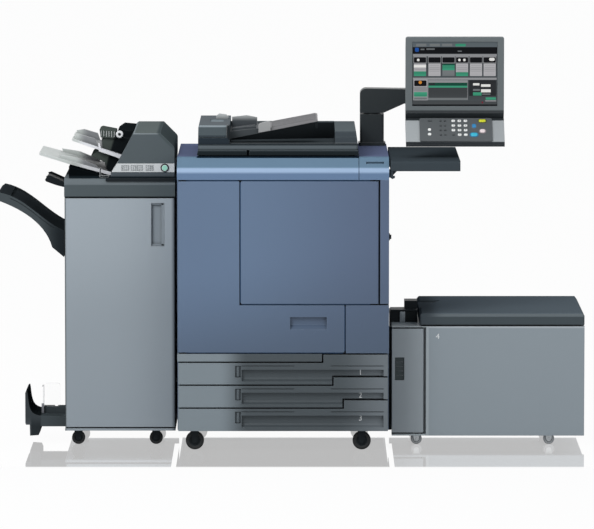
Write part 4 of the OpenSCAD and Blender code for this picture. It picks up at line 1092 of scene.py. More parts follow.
class Glow(Enum):
    """The tones of the lit display, in the order of its material slots."""

    SLATE = LitFinish("display_slate", "4b5154", 0.3)
    HEAD = LitFinish("display_head", "5d666b", 0.35)
    BLACK = LitFinish("display_black", "07090b")
    STRIP = LitFinish("display_strip", "98999c", 0.15)
    TILE = LitFinish("display_tile", "b8b7ba", 0.12, 200.0)
    GREEN = LitFinish("display_green", "3f9c7b", 0.2, 300.0)
    DEEP = LitFinish("display_deep_green", "15513f", 0.2, 300.0)
    WHITE = LitFinish("display_white", "f2f2ef", 0.05)
    BLUE = LitFinish("display_blue", "1d55a8", 0.2, 200.0)
    ORANGE = LitFinish("display_orange", "d68a2e", 0.2, 200.0)
    GREY = LitFinish("display_grey", "777c7e", 0.2, 120.0)
    COAL = LitFinish("display_coal", "2c2f31", 0.2, 120.0)
    FIELD = LitFinish("display_field", "484c4e", 0.25)
    RED = LitFinish("display_red", "7c2432")

    @property
    def slot(self) -> int:
        """The tone's place among the display's materials."""
        return list(Glow).index(self)


@dataclass(frozen=True)
class Area:
    """A lit area of the display, in millimetres from its upper left corner."""

    left: float
    top: float
    width: float
    height: float
    tone: Glow
    layer: int = 1
    corner: float = 0.8


@dataclass(frozen=True)
class Key:
    """A key of the operator panel, in millimetres on the shelf's slope."""

    x: float
    s: float
    width: float
    height: float
    finish: int
    sign: str = ""


@dataclass
class OperatorPanel:
    """Monitor with its lit display, and the keys on the shelf below it."""

    shop: Workshop
    lip: float = 0.007
    key_panel_t: float = 0.005
    key_rise: float = 0.0032
    key_sign: float = 0.006
    tile_lefts: tuple[float, ...] = (5.8, 58.5, 109.0, 158.0, 208.6, 258.0)
    tile_w: float = 44.0
    layer_t: float = 0.0003
    gasket_w: float = 0.0012
    keys: tuple[tuple[str, str], ...] = (
        ("key_white", "f1f2f0"), ("key_dark", "3b3f42"), ("key_yellow", "d9dc2c"), ("key_blue", "2f86bd"),
        ("key_cyan", "35b9d6"), ("key_pink", "eedfe0"), ("key_print", "4c5053"),
        ("key_ring_olive", "4d4f22"), ("key_ring_grey", "5b6063"), ("key_ring_blue", "1f6f9b"),
        ("key_ring_pale", "8a8083"),
    )

    def build(self) -> None:
        """Dresses the panel and makes its display and keys."""
        self.shop.dress({
            "monitor_housing": Finish(
                "monitor_bezel_plastic", "646b6d", "5b6265", 0.5, 4.0, 0.45, "9aa2a4", 0.4,
                sweeps=(Sweep("2a2f32", DOWN, -1.2125, -1.2075),),
            ),
            "touch_screen": Finish(
                "screen_surface", "3d4245", "34393c", 0.5, 8.0, 0.2, edge_highlight_share=0.0, roughness_drift=0.05,
                corners=0.0, flats=0.0, grain_depth=0.00001,
            ),
            # Painted shade on the shelf's underside, and a painted shadow of the monitor along the shelf's
            # top.
            "key_shelf": Finish(
                "key_shelf_plastic", "a6abac", "989ca3", 0.5, 5.0, 0.4, "d5d8d9", 0.12, specular=0.1,
                sweeps=(Sweep("272c30", DOWN, -1.1045, -1.1015), Sweep("2a2f32", UP, 1.1725, 1.1745)),
            ),
            # Painted shadow along the key panel's lower edge.
            "key_panel": Finish(
                "key_panel_plastic", "5c6062", "565a5d", 0.5, 9.0, 0.42, "93989b", 0.3, specular=0.1,
                sweeps=(Sweep("2a2e31", DOWN, -1.1, -1.096),),
            ),
            "panel_arm monitor_knuckle panel_post": Finish(
                "arm_plastic", "2b3235", "23292c", 0.6, 4.0, 0.4, "5a6265", 0.4
            ),
        })
        self._display()
        self._keys()
        self._inner_bezel()

    def _head_areas(self) -> list[Area]:
        """Lays out the display's upper half: its bars and its row of tiles.

        Returns:
            The areas from the back to the front.
        """
        areas = [
            Area(0, 0, 308, 233, Glow.SLATE, 0), Area(0, 0, 308, 19, Glow.HEAD),
            Area(0, 19.4, 308, 23.5, Glow.BLACK), Area(9.8, 21.5, 14, 15, Glow.BLUE, 2, 4),
            Area(30, 25, 14, 5, Glow.GREY, 2), Area(51, 24, 30, 5, Glow.GREY, 2),
            Area(164, 32, 15, 4, Glow.GREY, 2), Area(2.5, 44.6, 303, 8, Glow.STRIP),
            Area(2.5, 130, 303, 7.5, Glow.STRIP), Area(0, 214, 308, 13, Glow.FIELD),
            Area(0, 227, 308, 6, Glow.BLACK),
        ]
        for left, tone in zip((13.5, 62.5, 107.0, 156.0), (Glow.GREY, Glow.GREY, Glow.GREY, Glow.GREEN)):
            areas.append(Area(left, 7, 37.5, 9.6, tone, 2, 3))
        width = self.tile_w
        for left in self.tile_lefts:
            areas += [
                Area(left - 1.5, 52, width + 3, 26, Glow.STRIP),
                Area(left, 56, width, 19.5, Glow.BLACK, 2, 3), Area(left, 79, width, 45, Glow.TILE, 2),
                *(Area(left + 4, 84 + 8 * k, width - 8, 1.4, Glow.STRIP, 3, 0) for k in range(5)),
            ]
        first, _, third, fourth, _, last = self.tile_lefts
        return areas + [
            Area(first + 11, 61, 9.5, 9.5, Glow.WHITE, 3, 4.7), Area(first, 84, width, 9, Glow.WHITE, 4),
            Area(first, 107, width, 17, Glow.GREEN, 4), Area(third, 79, width, 6, Glow.DEEP, 4),
            Area(third, 85, width, 18, Glow.GREEN, 4), Area(third, 103, width, 21, Glow.GREY, 4),
            Area(fourth + 8, 61, 9, 9.5, Glow.WHITE, 3, 4.5),
            Area(fourth + 26, 61, 9, 9.5, Glow.WHITE, 3, 4.5),
            Area(fourth, 110, width, 14, Glow.GREEN, 4), Area(last + 20, 58, 20, 11, Glow.WHITE, 3, 5),
        ]

    def _job_areas(self) -> list[Area]:
        """Lays out the display's lower half: the tray list, the job list and the buttons.

        Returns:
            The areas from the back to the front.
        """
        return [
            Area(4.5, 137.5, 51, 74, Glow.TILE), Area(7, 139.7, 45, 21, Glow.BLACK, 2, 3),
            Area(23, 141, 12, 12, Glow.ORANGE, 3, 6), Area(6, 163, 48, 18, Glow.STRIP, 2),
            Area(6, 182, 48, 17, Glow.GREEN, 2), Area(6, 201, 48, 9, Glow.GREY, 2),
            Area(57, 139, 144, 72, Glow.STRIP), Area(58.5, 148, 141, 11, Glow.DEEP, 2, 0),
            Area(62, 150, 20, 7, Glow.COAL, 3), Area(58.5, 159, 141, 7, Glow.GREEN, 2, 0),
            Area(58.5, 166, 141, 37, Glow.FIELD, 2, 0), Area(58.5, 203, 141, 8, Glow.GREY, 2, 0),
            Area(206, 139, 97, 57, Glow.COAL), Area(220, 150, 23, 8, Glow.WHITE, 2),
            Area(249, 154, 34, 9, Glow.WHITE, 2), Area(220, 171, 25, 7, Glow.GREY, 2),
            Area(249, 172, 35, 11, Glow.WHITE, 2), Area(220, 183, 31, 12, Glow.GREEN, 2),
            Area(253, 187, 30, 5, Glow.GREY, 2), Area(266, 201, 37, 9, Glow.GREEN, 2),
            Area(264, 212, 40, 4, Glow.STRIP, 2), Area(251, 216, 6, 7, Glow.RED, 2, 3),
        ]

    def _display(self) -> None:
        """Lays the lit areas on the screen in thin layers."""
        screen, shape, clear, most = Box.of("touch_screen"), Shape(), 0.0001, 0.49
        for area in self._head_areas() + self._job_areas():
            size = (area.width * MM, area.height * MM)
            x = screen.low.x + (area.left + area.width / 2) * MM
            z = screen.high.z - (area.top + area.height / 2) * MM
            corner, rise = min(area.corner * MM, most * min(size)), self.layer_t * (area.layer + 1)
            place = facing_front(x, screen.low.y - clear, z)
            shape.slab(size, corner, rise, place, material=area.tone.slot)
        self.shop.place("display_picture", shape, Glow, Body.OPERATOR_PANEL, 20.0)

    def _inner_bezel(self) -> None:
        """A thin dark gasket where the glass meets the bezel."""
        screen, front, shape = Box.of("touch_screen"), Box.of("monitor_housing").low.y + 0.001, Shape()
        (left, _, low), (right, _, high), width = screen.low, screen.high, self.gasket_w
        for x, z, to_x, to_z in (
            (left, low, right, low + width), (left, high - width, right, high),
            (left, low, left + width, high), (right - width, low, right, high),
        ):
            shape.block((x, front, z), (to_x, screen.low.y, to_z), SOFT)
        self.shop.place("screen_gasket", shape, (Paint.BLACK,), Body.OPERATOR_PANEL)

    def _shelf_plane(self) -> Matrix:
        """Finds the plane of the key panel's top, with its origin at the shelf's front left corner.

        Returns:
            The plane.
        """
        shelf, monitor = Box.of("key_shelf"), Box.of("monitor_housing")
        out, drop = monitor.low.y - shelf.low.y, monitor.low.z - shelf.low.z - self.lip
        place = shift(shelf.low.x, monitor.low.y, monitor.low.z)
        slope = Matrix.Rotation(math.atan2(drop, out), 4, "X")
        return place @ slope @ shift(0, -math.hypot(out, drop), self.key_panel_t)

    def _key_list(self) -> list[Key]:
        """Lists the keys; finish 0 is white, 1 dark, then yellow, blue, cyan and pink.

        Returns:
            The keys with their places.
        """
        keys, signs = [], iter("123456789 0 ")
        for row in (105, 80, 56, 32):
            caps = [Key(x, row, 13.5, 10.5, 0, next(signs)) for x in (172, 194, 216)]
            keys += caps if row > 32 else caps[1:]
            keys += [Key(x, row, 8, 6, 1) for x in (126, 142)]
        return keys + [
            Key(172, 32, 9, 7, 1), Key(85.5, 59, 12, 12, 0), Key(85.5, 35, 13, 12, 0),
            Key(277, 105, 25, 13, 2), Key(247, 78, 15, 20, 3), Key(246, 33, 24, 17, 4),
            Key(277, 52, 19, 17, 5), Key(88, 105, 14, 5, 1),
        ]

    def _keys(self) -> None:
        """Soft key caps in place of the plain ones, with plain numerals."""
        plane, shape, coloured, ring_from, print_slot = self._shelf_plane(), Shape(), 2, 5, 6
        for key in self._key_list():
            size = (key.width * MM, key.height * MM)
            at = plane @ shift(key.x * MM, key.s * MM, 0)
            if key.finish >= coloured:
                ring = (size[0] + 0.008, size[1] + 0.007)
                shape.slab(ring, 0.45 * min(ring), 0.0008, at, SOFT, key.finish + ring_from)
            shape.slab(size, 0.42 * min(size), self.key_rise, at, 0.0014, key.finish)
            if key.sign.strip():
                shape.numeral(key.sign, self.key_sign, 0.0002, at @ shift(0, 0, self.key_rise), print_slot)
        finishes = [
            Finish(name, code, code, 0.2, 30.0, 0.32, edge_highlight_share=0.15, edge_radius=0.0006, corners=0.3)
            for name, code in self.keys
        ]
        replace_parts(self.shop.place("key_caps", shape, finishes, Body.OPERATOR_PANEL), "panel_keys")


@dataclass
class PrintEngine:
    """The blue engine: covers, doors, rim, inner parts and the table."""

    shop: Workshop
    gap: float = 0.0055
    # Placement of the dark blue strips that paint the shade in the door gaps.
    gap_shade_reach: float = 0.0036
    gap_shade_recess: float = 0.0035
    gap_shade_depth: float = 0.008
    gap_shade_root: float = 0.001
    gap_shade_inset: float = 0.004
    hinge_inset: float = 0.03
    # Size of the painted shadow strip under the document feeder.
    shadow_reach: float = 0.03
    shadow_rise: float = 0.0025
    shadow_sink: float = 0.008
    lever_w: float = 0.07
    rear_step: float = 0.008
    inlet_at: tuple[float, float] = (0.155, 0.128)
    sockets_at: tuple[float, float] = (0.3, 0.11)
    socket_pitch: float = 0.034
    screw_inset: float = 0.02
    screw_low: float = 0.05
    screw_pitch: float = 0.205
    inks: tuple[tuple[str, str], ...] = (
        ("ring_yellow", "e0c318"), ("ring_magenta", "b8285f"), ("ring_cyan", "1f86b8"),
        ("ring_black", "2b2d2e"), ("lever_green", "2f8f57"),
    )

    def build(self) -> None:
        """Dresses the engine."""
        self.shop.dress({
            "front_door toner_door engine_fixed_covers engine_side_panels engine_rear_cover":
                Paint.ENGINE_BLUE,
            "engine_top_cover engine_top_right_cover": Paint.RIM_BLUE,
            "engine_core engine_inner_cover": Paint.INNER,
            "engine_chassis side_fittings toner_bottles": Paint.BLACK,
            "tray_rails": Paint.STEEL,
            "door_pins": MetalFinish("blackened_steel", "23272a", 0.5),
            "platen_glass": ClearFinish("platen_glass", "9fb3ad", 0.03, 0.55, 1.52),
            "working_table": Finish(
                "table_plastic", "3f474c", "394147", 0.6, 3.0, 0.6, "626b71", 0.4, **DULL
            ),
        })
        self._gap_shade_strips()
        self._feeder_shadow_strip()
        self._bottle_rings()
        self._rear_sockets()

    def _feeder_shadow_strip(self) -> None:
        """Lays a dark strip on the rim in front of the scanner glass: a painted shadow under the document
        feeder's base.
        """
        base, deck, shape = Box.of("feeder_base"), Box.of("platen_glass").high.z, Shape()
        low = (base.low.x, base.low.y - self.shadow_reach, deck - self.shadow_sink)
        shape.block(low, (base.high.x, base.low.y + 0.006, deck + self.shadow_rise), 0.0015, 3)
        self.shop.place("platen_seal", shape, (
            Finish("painted_feeder_shadow", "12202b", "182530", 0.5, 12.0, 0.7, edge_highlight_share=0.0, **DULL),
        ))

    def _bottle_rings(self) -> None:
        """Rings the toner bottles in their ink colours and tips the two bay levers in green."""
        shape, parts = Shape(), islands("toner_bottles")
        for index, box in enumerate(box for box in parts if box.size.x >= self.lever_w):
            reach, (x, _, z), front = box.size.x / 2, box.centre, box.low.y
            ring = (
                (0.0, reach - 0.0075), (-0.0018, reach - 0.007), (-0.0018, reach - 0.002),
                (0.0, reach - 0.001), (0.0, reach - 0.0075),
            )
            shape.revolved(ring, (x, front + 0.0065, z), 48, (index,))
            shape.slab((reach * 1.1, 0.0075), 0.002, 0.0006, facing_front(x, front, z), 0.0002, index)
        for box in parts:
            if box.size.x < self.lever_w:
                tip = facing_front(box.centre.x, box.low.y, box.centre.z + 0.012)
                shape.slab((0.012, 0.064), 0.004, 0.0014, tip, 0.0005, len(self.inks) - 1)
        finishes = [
            Finish(name, code, code, 0.2, 30.0, 0.4, edge_highlight_share=0.2, edge_radius=0.0008)
            for name, code in self.inks
        ]
        self.shop.place("toner_bottle_rings", shape, finishes)

    def _rear_sockets(self) -> None:
        """Sets a power inlet, three sockets and two rows of screws on the rear cover."""
        cover, back = Box.of("engine_rear_cover"), Box.of("engine_side_panels").high.y + self.rear_step
        corner, shape = Vector((cover.low.x, back, cover.low.z)), Shape()
        inlet = corner + Vector((self.inlet_at[0], 0, self.inlet_at[1]))
        shape.block(inlet - Vector((0.03, 0.005, 0.022)), inlet + Vector((0.03, 0.002, 0.022)), 0.002, 3)
        reach = Vector((0.0012, 0.003, 0.004))
        for offset, rise in ((-0.012, -0.004), (0.0, 0.005), (0.012, -0.004)):
            pin = inlet + Vector((offset, 0.0035, rise))
            shape.block(pin - reach, pin + reach, 0.0004, 1, 1)
        for k in range(3):
            left = corner + Vector((self.sockets_at[0] + k * self.socket_pitch, 0, self.sockets_at[1]))
            shape.block(left, left + Vector((0.022, 0.004, 0.018)), 0.001)
            shape.block(
                left + Vector((0.005, 0.0035, 0.004)), left + Vector((0.017, 0.0045, 0.013)), 0.0005, 1, 1
            )
        for x in (cover.low.x + self.screw_inset, cover.high.x - self.screw_inset):
            for k in range(5):
                shape.screw((x, back, cover.low.z + self.screw_low + k * self.screw_pitch), 0.0045, (1, 0))
        self.shop.place("rear_sockets", shape, (Paint.BLACK, Paint.STEEL))

    def _gap_shade_strips(self) -> None:
        """Lays dark blue strips in the gaps along the free edges of the two doors, as painted shade in the
        gaps.
        """
        door, toner, inset = Box.of("front_door"), Box.of("toner_door"), self.gap_shade_inset
        (left, _, low), (right, _, high) = door.low, door.high
        (toner_left, _, toner_low), (toner_right, _, toner_high) = toner.low, toner.high
        step_x, step_z, root = toner_left - self.gap - inset, toner_low - self.gap - inset, self.gap_shade_root
        hinge, reach = self.hinge_inset, self.gap_shade_reach
        front = door.low.y + self.gap_shade_recess
        strips = {
            Body.FRONT_DOOR: (
                (left + hinge, high - root, step_x, high + reach),
                (left + hinge, low - reach, right - inset, low + root),
                (right - root, low + inset, right + reach, step_z),
            ),
            Body.TONER_DOOR: (
                (toner_left + inset, toner_high - root, toner_right - hinge, toner_high + reach),
                (toner_left + inset, toner_low - reach, toner_right - hinge, toner_low + root),
                (toner_left - reach, toner_low + inset, toner_left + root, toner_high - inset),
            ),
        }
        for body, rows in strips.items():
            shape = Shape()
            for x, z, to_x, to_z in rows:
                shape.block((x, front, z), (to_x, front + self.gap_shade_depth, to_z), 0.0006)
            self.shop.place(f"{body.value}_gasket", shape, (Paint.GAP_SHADE,), body)


@dataclass
class PaperTrays:
    """The three trays' fronts with their numerals, and the steel boxes behind them."""

    shop: Workshop
    numeral_h: float = 0.02
    scoop_depth: float = 0.017
    numeral_rise: float = 0.0004
    bar_x: float = -0.189
    bar_rise: float = 0.003
    bar_size: tuple[float, float] = (0.0035, 0.028)
    numeral_x: float = 0.253
    numeral_z: float = 0.0445
    bodies: tuple[Body, ...] = (Body.TRAY_1, Body.TRAY_2, Body.TRAY_3)

    def build(self) -> None:
        """Dresses the trays and sets a numeral in each scoop."""
        names = [body.value for body in self.bodies]
        self.shop.dress({
            " ".join([f"{name}_front" for name in names] + ["tray_head_strip"]): Paint.TRAY_GREY,
            " ".join(f"{name}_box" for name in names): Paint.STEEL,
        })
        fronts = [Box.of(f"{name}_front") for name in names]
        last = len(fronts) - 1
        pitch = (fronts[0].high.z - fronts[last].high.z) / last
        for index, (body, front) in enumerate(zip(self.bodies, fronts)):
            z, shape = fronts[last].low.z + (last - index) * pitch + self.numeral_z, Shape()
            place = facing_front(self.numeral_x, front.low.y + self.scoop_depth, z)
            shape.numeral(str(index + 1), self.numeral_h, self.numeral_rise, place)
            bar = facing_front(self.bar_x, front.low.y, z + self.bar_rise)
            shape.slab(self.bar_size, 0.0016, PROUD, bar, SOFT, 1)
            self.shop.place(f"{body.value}_numeral", shape, (Paint.WHITE, Paint.TRAY_GREY), body)


@dataclass
class DocumentFeeder:
    """The feeder over the scanner glass, with its sloping tray."""

    shop: Workshop
    well_floor: tuple[float, float] = (0.018, 0.024)
    well_front: float = 0.024
    well_depth: float = 0.47
    well_right: float = 0.493
    liner_t: float = 0.0008
    liner_gap: float = 0.0005
    liner_ribs: int = 9
    flare: float = 0.004
    trim_low: float = 0.018
    trim_depth: float = 0.05
    pad_inset: float = 0.026
    pad_gap: float = 0.0008
    pad_t: float = 0.0016

    def build(self) -> None:
        """Dresses the document feeder."""
        self.shop.dress({
            # Painted light and shade in bands: dark over the recessed foot, a lit band on the lip, a shaded
            # band above it, and painted highlight lines along the rib's top edge and along the top.
            "feeder_base": Finish(
                "feeder_base_plastic", "50585c", "4b5357", 0.5, 3.0, 0.5, "7b8385", 0.4, specular=0.0,
                flats=0.05, sweeps=(
                    Sweep("252c2f", DOWN, -1.0757, -1.0735), Sweep("5f676b", UP, 1.0815, 1.086),
                    Sweep("30373b", UP, 1.0935, 1.0955), Sweep("6d7376", UP, 1.1012, 1.1018),
                    Sweep("434a4f", UP, 1.1035, 1.105), Sweep("626a6d", UP, 1.1435, 1.1447),
                ),
            ),
            # Painted light and shade: the lower face darker, a painted highlight line along the top edge of
            # the face, and a lighter tone on the sloping top.
            "feeder_head": Finish(
                "feeder_head_plastic", "525b5f", "4c5559", 0.5, 3.0, 0.5, "8a9498", 0.6, specular=0.0,
                flats=0.05, sweeps=(
                    Sweep("2c343b", DOWN, -1.1315, -1.127), Sweep("8a9499", UP, 1.158, 1.161),
                    Sweep("696f73", UP, 1.1652, 1.1659),
                ),
            ),
            "document_tray": Finish(
                "document_tray_plastic", "484d50", "4e5356", 0.5, 4.0, 0.45, "a0a3a3", 0.35, specular=0.05,
                sweeps=(Sweep("8b8a8c", RIGHT, -0.112, -0.092),),
            ),
            "document_guides": Finish(
                "document_guide_plastic", "c2c5c5", "b5b9b8", 0.5, 9.0, 0.4, "e6e8e8", 0.35, specular=0.1,
                sweeps=(Sweep("4a4f53", DOWN, -1.184, -1.156), Sweep("a3a4a4", RIGHT, -0.122, -0.12)),
            ),
        })
        self._well_liner()
        self._trims()
        self._backing_pad()

    def _trims(self) -> None:
        """Adds the black and the pale strip at the head's right end and the tray's end cap."""
        head, tray, shape = Box.of("feeder_head"), Box.of("document_tray"), Shape()
        (right, _, top), front, bottom = head.high, head.low.y, head.low.z + self.trim_low
        back, (far, rear, high) = front + self.trim_depth, tray.high
        shape.block((right - 0.006, front - PROUD, bottom), (right + 0.0008, back, top), SOFT, 1)
        shape.block(
            (right - 0.0105, front + PROUD, bottom + 0.008), (right - 0.0065, back, top + PROUD), SOFT,
            1, 1,
        )
        shape.block(
            (far - 0.006, tray.low.y + 0.004, high - 0.035), (far + PROUD, rear - 0.004, high - 0.004), 0.002
        )
        self.shop.place("feeder_trims", shape, (Paint.BLACK, Paint.SILVER), Body.DOCUMENT_FEEDER)

    def _backing_pad(self) -> None:
        """Fixes the white foam sheet that presses originals on the glass."""
        base, glass, shape = Box.of("feeder_base"), Box.of("platen_glass").high, Shape()
        inset, bottom = self.pad_inset, glass.z + self.pad_gap
        shape.block(
            (base.low.x + inset, base.low.y + inset, bottom),
            (base.high.x - inset, glass.y - inset, bottom + self.pad_t), 0.0005,
        )
        foam = Finish(
            "backing_pad_foam", "eceded", "e0e2e2", 0.5, 12.0, 0.8, grain=500.0, grain_depth=0.0003,
            edge_highlight_share=0.0,
        )
        self.shop.place("backing_pad", shape, (foam,), Body.DOCUMENT_FEEDER)

    def _well_liner(self) -> None:
        """Lays a black ribbed sheet with grey edges on the exit well's floor and one on its back."""
        base, gap, shape = Box.of("feeder_base"), self.liner_gap, Shape()
        left, right = Box.of("feeder_head").high.x + gap, base.low.x + self.flare + self.well_right - gap
        front = base.low.y + self.well_front + 0.001
        back = base.low.y + self.well_front + self.well_depth - gap
        low, high = (base.low.z + place + 0.0002 for place in self.well_floor)
        at = shift(left, front, low) @ Matrix.Rotation(-math.atan2(high - low, right - left), 4, "Y")
        length, depth = math.hypot(right - left, high - low), back - front
        shape.block((0, 0, 0), (length, depth, self.liner_t), SOFT, 1, 1, at)
        for k in range(self.liner_ribs):
            x = length * (k + 1) / (self.liner_ribs + 1)
            shape.block((x, 0.03, self.liner_t), (x + 0.004, depth - 0.03, 0.0028), 0.0008, 2, 1, at)
        shape.block((left, back - self.liner_t, low + 0.004), (right, back, base.high.z - 0.004), SOFT, 1)
        sheet = Finish("well_floor_plastic", "3c4247", "363c41", 0.5, 8.0, 0.6, edge_highlight_share=0.1, **DULL)
        self.shop.place("exit_well_liner", shape, (Paint.BLACK, sheet), Body.DOCUMENT_FEEDER)


@dataclass
class Finisher:
    """The grey finisher with its trays, and the post inserter on top."""

    shop: Workshop
    grip_right: float = 0.083
    grip_size: tuple[float, float] = (0.045, 0.154)
    grip_low: float = 0.727
    grip_deep: float = 0.014
    grip_wall: float = 0.006
    grip_rim: float = 0.0025
    key_groups: tuple[tuple[float, int], ...] = ((-0.606, 4), (-0.572, 6), (-0.518, 4))
    key_pitch: tuple[float, float] = (0.0075, 0.0072)
    key_size: tuple[float, float] = (0.0055, 0.0046)
    button_rise: float = 0.003
    button_inset: float = 0.035
    knob_place: tuple[float, float, float] = (0.105, -0.002, -0.02)
    rib_from: float = 0.037
    rib_pitch: float = 0.0095
    rib_count: int = 6
    rib_top: float = 0.006
    rib_fall: float = 0.0008
    rib_h: float = 0.022
    # Span of the black strip that paints the inserter's shadow on the lid.
    shadow_strip_from: float = -0.665
    shadow_strip_h: float = 0.0108
    angle_at: tuple[float, float] = (-0.687, 1.0085)
    clamp_rise: float = 0.036
    lever_places: tuple[tuple[float, float], ...] = ((0.13, 0.78), (0.12, 0.44))
    exit_middle: float = 0.879
    exit_centre: float = 0.308
    exit_w: float = 0.4
    roller_inset: float = 0.014
    screw_inset: float = 0.018
    screw_ends: float = 0.04

    def build(self) -> None:
        """Dresses the finisher and the inserter."""
        shift_front, booklet_front = (Box.of(f"{name}_tray").low.y for name in ("shift", "booklet"))
        self.shop.dress({
            "finisher_housing finisher_door": Paint.FINISHER_GREY,
            "finisher_inner_cover": Paint.INNER,
            "sub_tray": Paint.BLACK,
            "booklet_stopper": ClearFinish("clear_moulding", "ffffff", 0.05, 1.0, 1.4),
            # Painted highlight: a lighter band along the lid's upper front edge.
            "finisher_lid": Finish(
                "finisher_lid_plastic", "525a5e", "4c5557", 0.6, 3.0, 0.55, "848c8e", 0.35, specular=0.0,
                sweeps=(Sweep("6a7276", UP, 0.945, 0.951),),
            ),
            # Painted shade: the base's front turns dark towards the bottom, where it sits on the lid.
            "inserter_base": Finish(
                "inserter_base_plastic", "080b0d", "0d1113", 0.5, 6.0, 0.5, "3a4144", 0.2, **DULL,
                sweeps=(Sweep("4d5459", RIGHT, -0.665, -0.655), Sweep("1a2226", DOWN, -0.982, -0.9735)),
            ),
            "inserter_hood": Finish(
                "inserter_hood_plastic", "15191b", "1b2022", 0.5, 6.0, 0.5, "5b6361", 0.35, **DULL,
                sweeps=(Sweep("4a514d", (-1.0, 0.0, 0.3), 0.965, 0.975),),
            ),
            # Painted light and shade: a painted highlight line along the front's top edge, the sloping top in
            # a tone set for the light that falls on it, and painted shade on the bevel at the right.
            "inserter_housing": Finish(
                "inserter_housing_plastic", "565e62", "505859", 0.6, 4.0, 0.5, "8c9496", 0.6, specular=0.0,
                sweeps=(
                    Sweep("8a9397", UP, 1.1285, 1.131), Sweep("676f6e", UP, 1.1332, 1.1339),
                    Sweep("4a5355", (1.0, 0.0, 1.0), 0.648, 0.66),
                ),
            ),
            "inserter_key_strip": Finish(
                "key_strip_plastic", "c9cccd", "bfc3c4", 0.5, 9.0, 0.35, "f2f4f4", 0.4
            ),
            # Painted highlight: a pale band along the trays' front edges; their left ends take a pale
            # greenish tint.
            "inserter_upper_tray inserter_lower_tray": Finish(
                "inserter_tray_plastic", "8f9193", "86888b", 0.6, 6.0, 0.4, "f4f4f6", 0.6, 0.0015,
                specular=0.1, flats=0.0,
                sweeps=(Sweep("e6e7eb", FRONT, 0.234, 0.2355), Sweep("c6cbc8", LEFT, 0.74, 0.78)),
            ),
            # Painted shade: behind its front edge the tray takes a single dark tone set against the light
            # from above.
            "shift_tray": Finish(
                "shift_tray_plastic", "252a2e", "2a3033", 0.6, 5.0, 0.5, "6a7274", 0.4, **DULL, sweeps=(
                    Sweep("484f52", LEFT, 0.83, 0.92),
                    Sweep("292e31", REAR, shift_front + 0.001, shift_front + 0.003),
                ),
            ),
            # Painted light and shade: the front is lighter towards its top, and behind the front edge the
            # floor takes a dark tone set against the light from above.
            "booklet_tray": Finish(
                "booklet_tray_plastic", "2d3235", "272c2f", 0.5, 8.0, 0.5, "6b7276", 0.5, **DULL, sweeps=(
                    Sweep("4d5255", LEFT, 0.938, 0.945), Sweep("3c4144", UP, 0.06, 0.1),
                    Sweep("1b1f21", REAR, booklet_front + 0.001, booklet_front + 0.003),
                    Sweep("444b4e", RIGHT, -0.908, -0.902),
                ),
            ),
        })
        self._grip()
        self._strip_keys()
        self._rollers()
        self._shadow_strip_and_angle()
        self._stopper_clamp()
        self._inner_levers()
        self._exit_rollers()
        self._rear_screws()

    def _grip(self) -> None:
        """Lines the door's grip: a grey floor, walls with black edges and a rim with pale ones."""
        door, shape, wall, rim = Box.of("finisher_door"), Shape(), self.grip_wall, self.grip_rim
        left, low, front = door.high.x - self.grip_right, self.grip_low, door.low.y
        right, high, floor = left + self.grip_size[0], low + self.grip_size[1], front + self.grip_deep
        shape.block((left, floor - 0.001, low), (right, floor, high), 0.0002, 1)
        for x, z, to_x, to_z in (
            (right - wall * 1.5, low, right, high), (left, high - wall, right, high),
            (left, low, right, low + wall), (left, low, left + wall * 0.4, high),
        ):
            shape.block((x, front + 0.004, z), (to_x, floor, to_z), 0.0004, 1, 1)
        for x, z, to_x, to_z in (
            (left - rim, low - rim, left, high + rim), (right, low - rim, right + rim, high + rim),
            (left, high, right, high + rim), (left, low - rim, right, low),
        ):
            shape.block((x, front - PROUD, z), (to_x, front + 0.001, to_z), SOFT, 2, 2)
        self.shop.place("finisher_grip_liner", shape, (
            Finish("grip_floor_plastic", "868f96", "7d868d", 0.5, 20.0, 0.5), Paint.BLACK,
            Finish("grip_rim_plastic", "b3bbc0", "a9b1b6", 0.5, 20.0, 0.45),
        ), Body.FINISHER_DOOR)

    def _shadow_strip_and_angle(self) -> None:
        """Lays a black strip under the inserter, a painted shadow of its base on the lid, and a white angle
        at the end of its lower tray.
        """
        lid, base, shape = Box.of("finisher_lid"), Box.of("inserter_base"), Shape()
        left, top = self.angle_at
        low = (self.shadow_strip_from, lid.low.y - PROUD, lid.high.z - self.shadow_strip_h)
        shape.block(low, (base.high.x, base.low.y + 0.002, lid.high.z + PROUD), 0.0005, 1)
        front, back = base.low.y - 0.0015, base.low.y + 0.001
        shape.block((left, front, top - 0.028), (left + 0.005, back, top), 0.0006, 2, 1)
        shape.block((left, front, top - 0.034), (left + 0.033, back, top - 0.027), 0.0006, 2, 1)
        self.shop.place("inserter_foot_trim", shape, (Paint.BLACK, Paint.WHITE))

    def _stopper_clamp(self) -> None:
        """Holds the thin stopper of the booklet tray at its front edge."""
        plate, shape, gap = min(islands("booklet_stopper"), key=lambda box: box.low.x), Shape(), 0.0003
        (x, y, z), wider = plate.low, 0.002
        shape.block(
            (x - wider, y - 0.006, z), (plate.high.x + wider, y - gap, z + self.clamp_rise), 0.001
        )
        clamp = Finish("clamp_plastic", "8b8d93", "82848a", 0.4, 20.0, 0.45, edge_highlight_share=0.3)
        self.shop.place("stopper_clamp", shape, (clamp,))

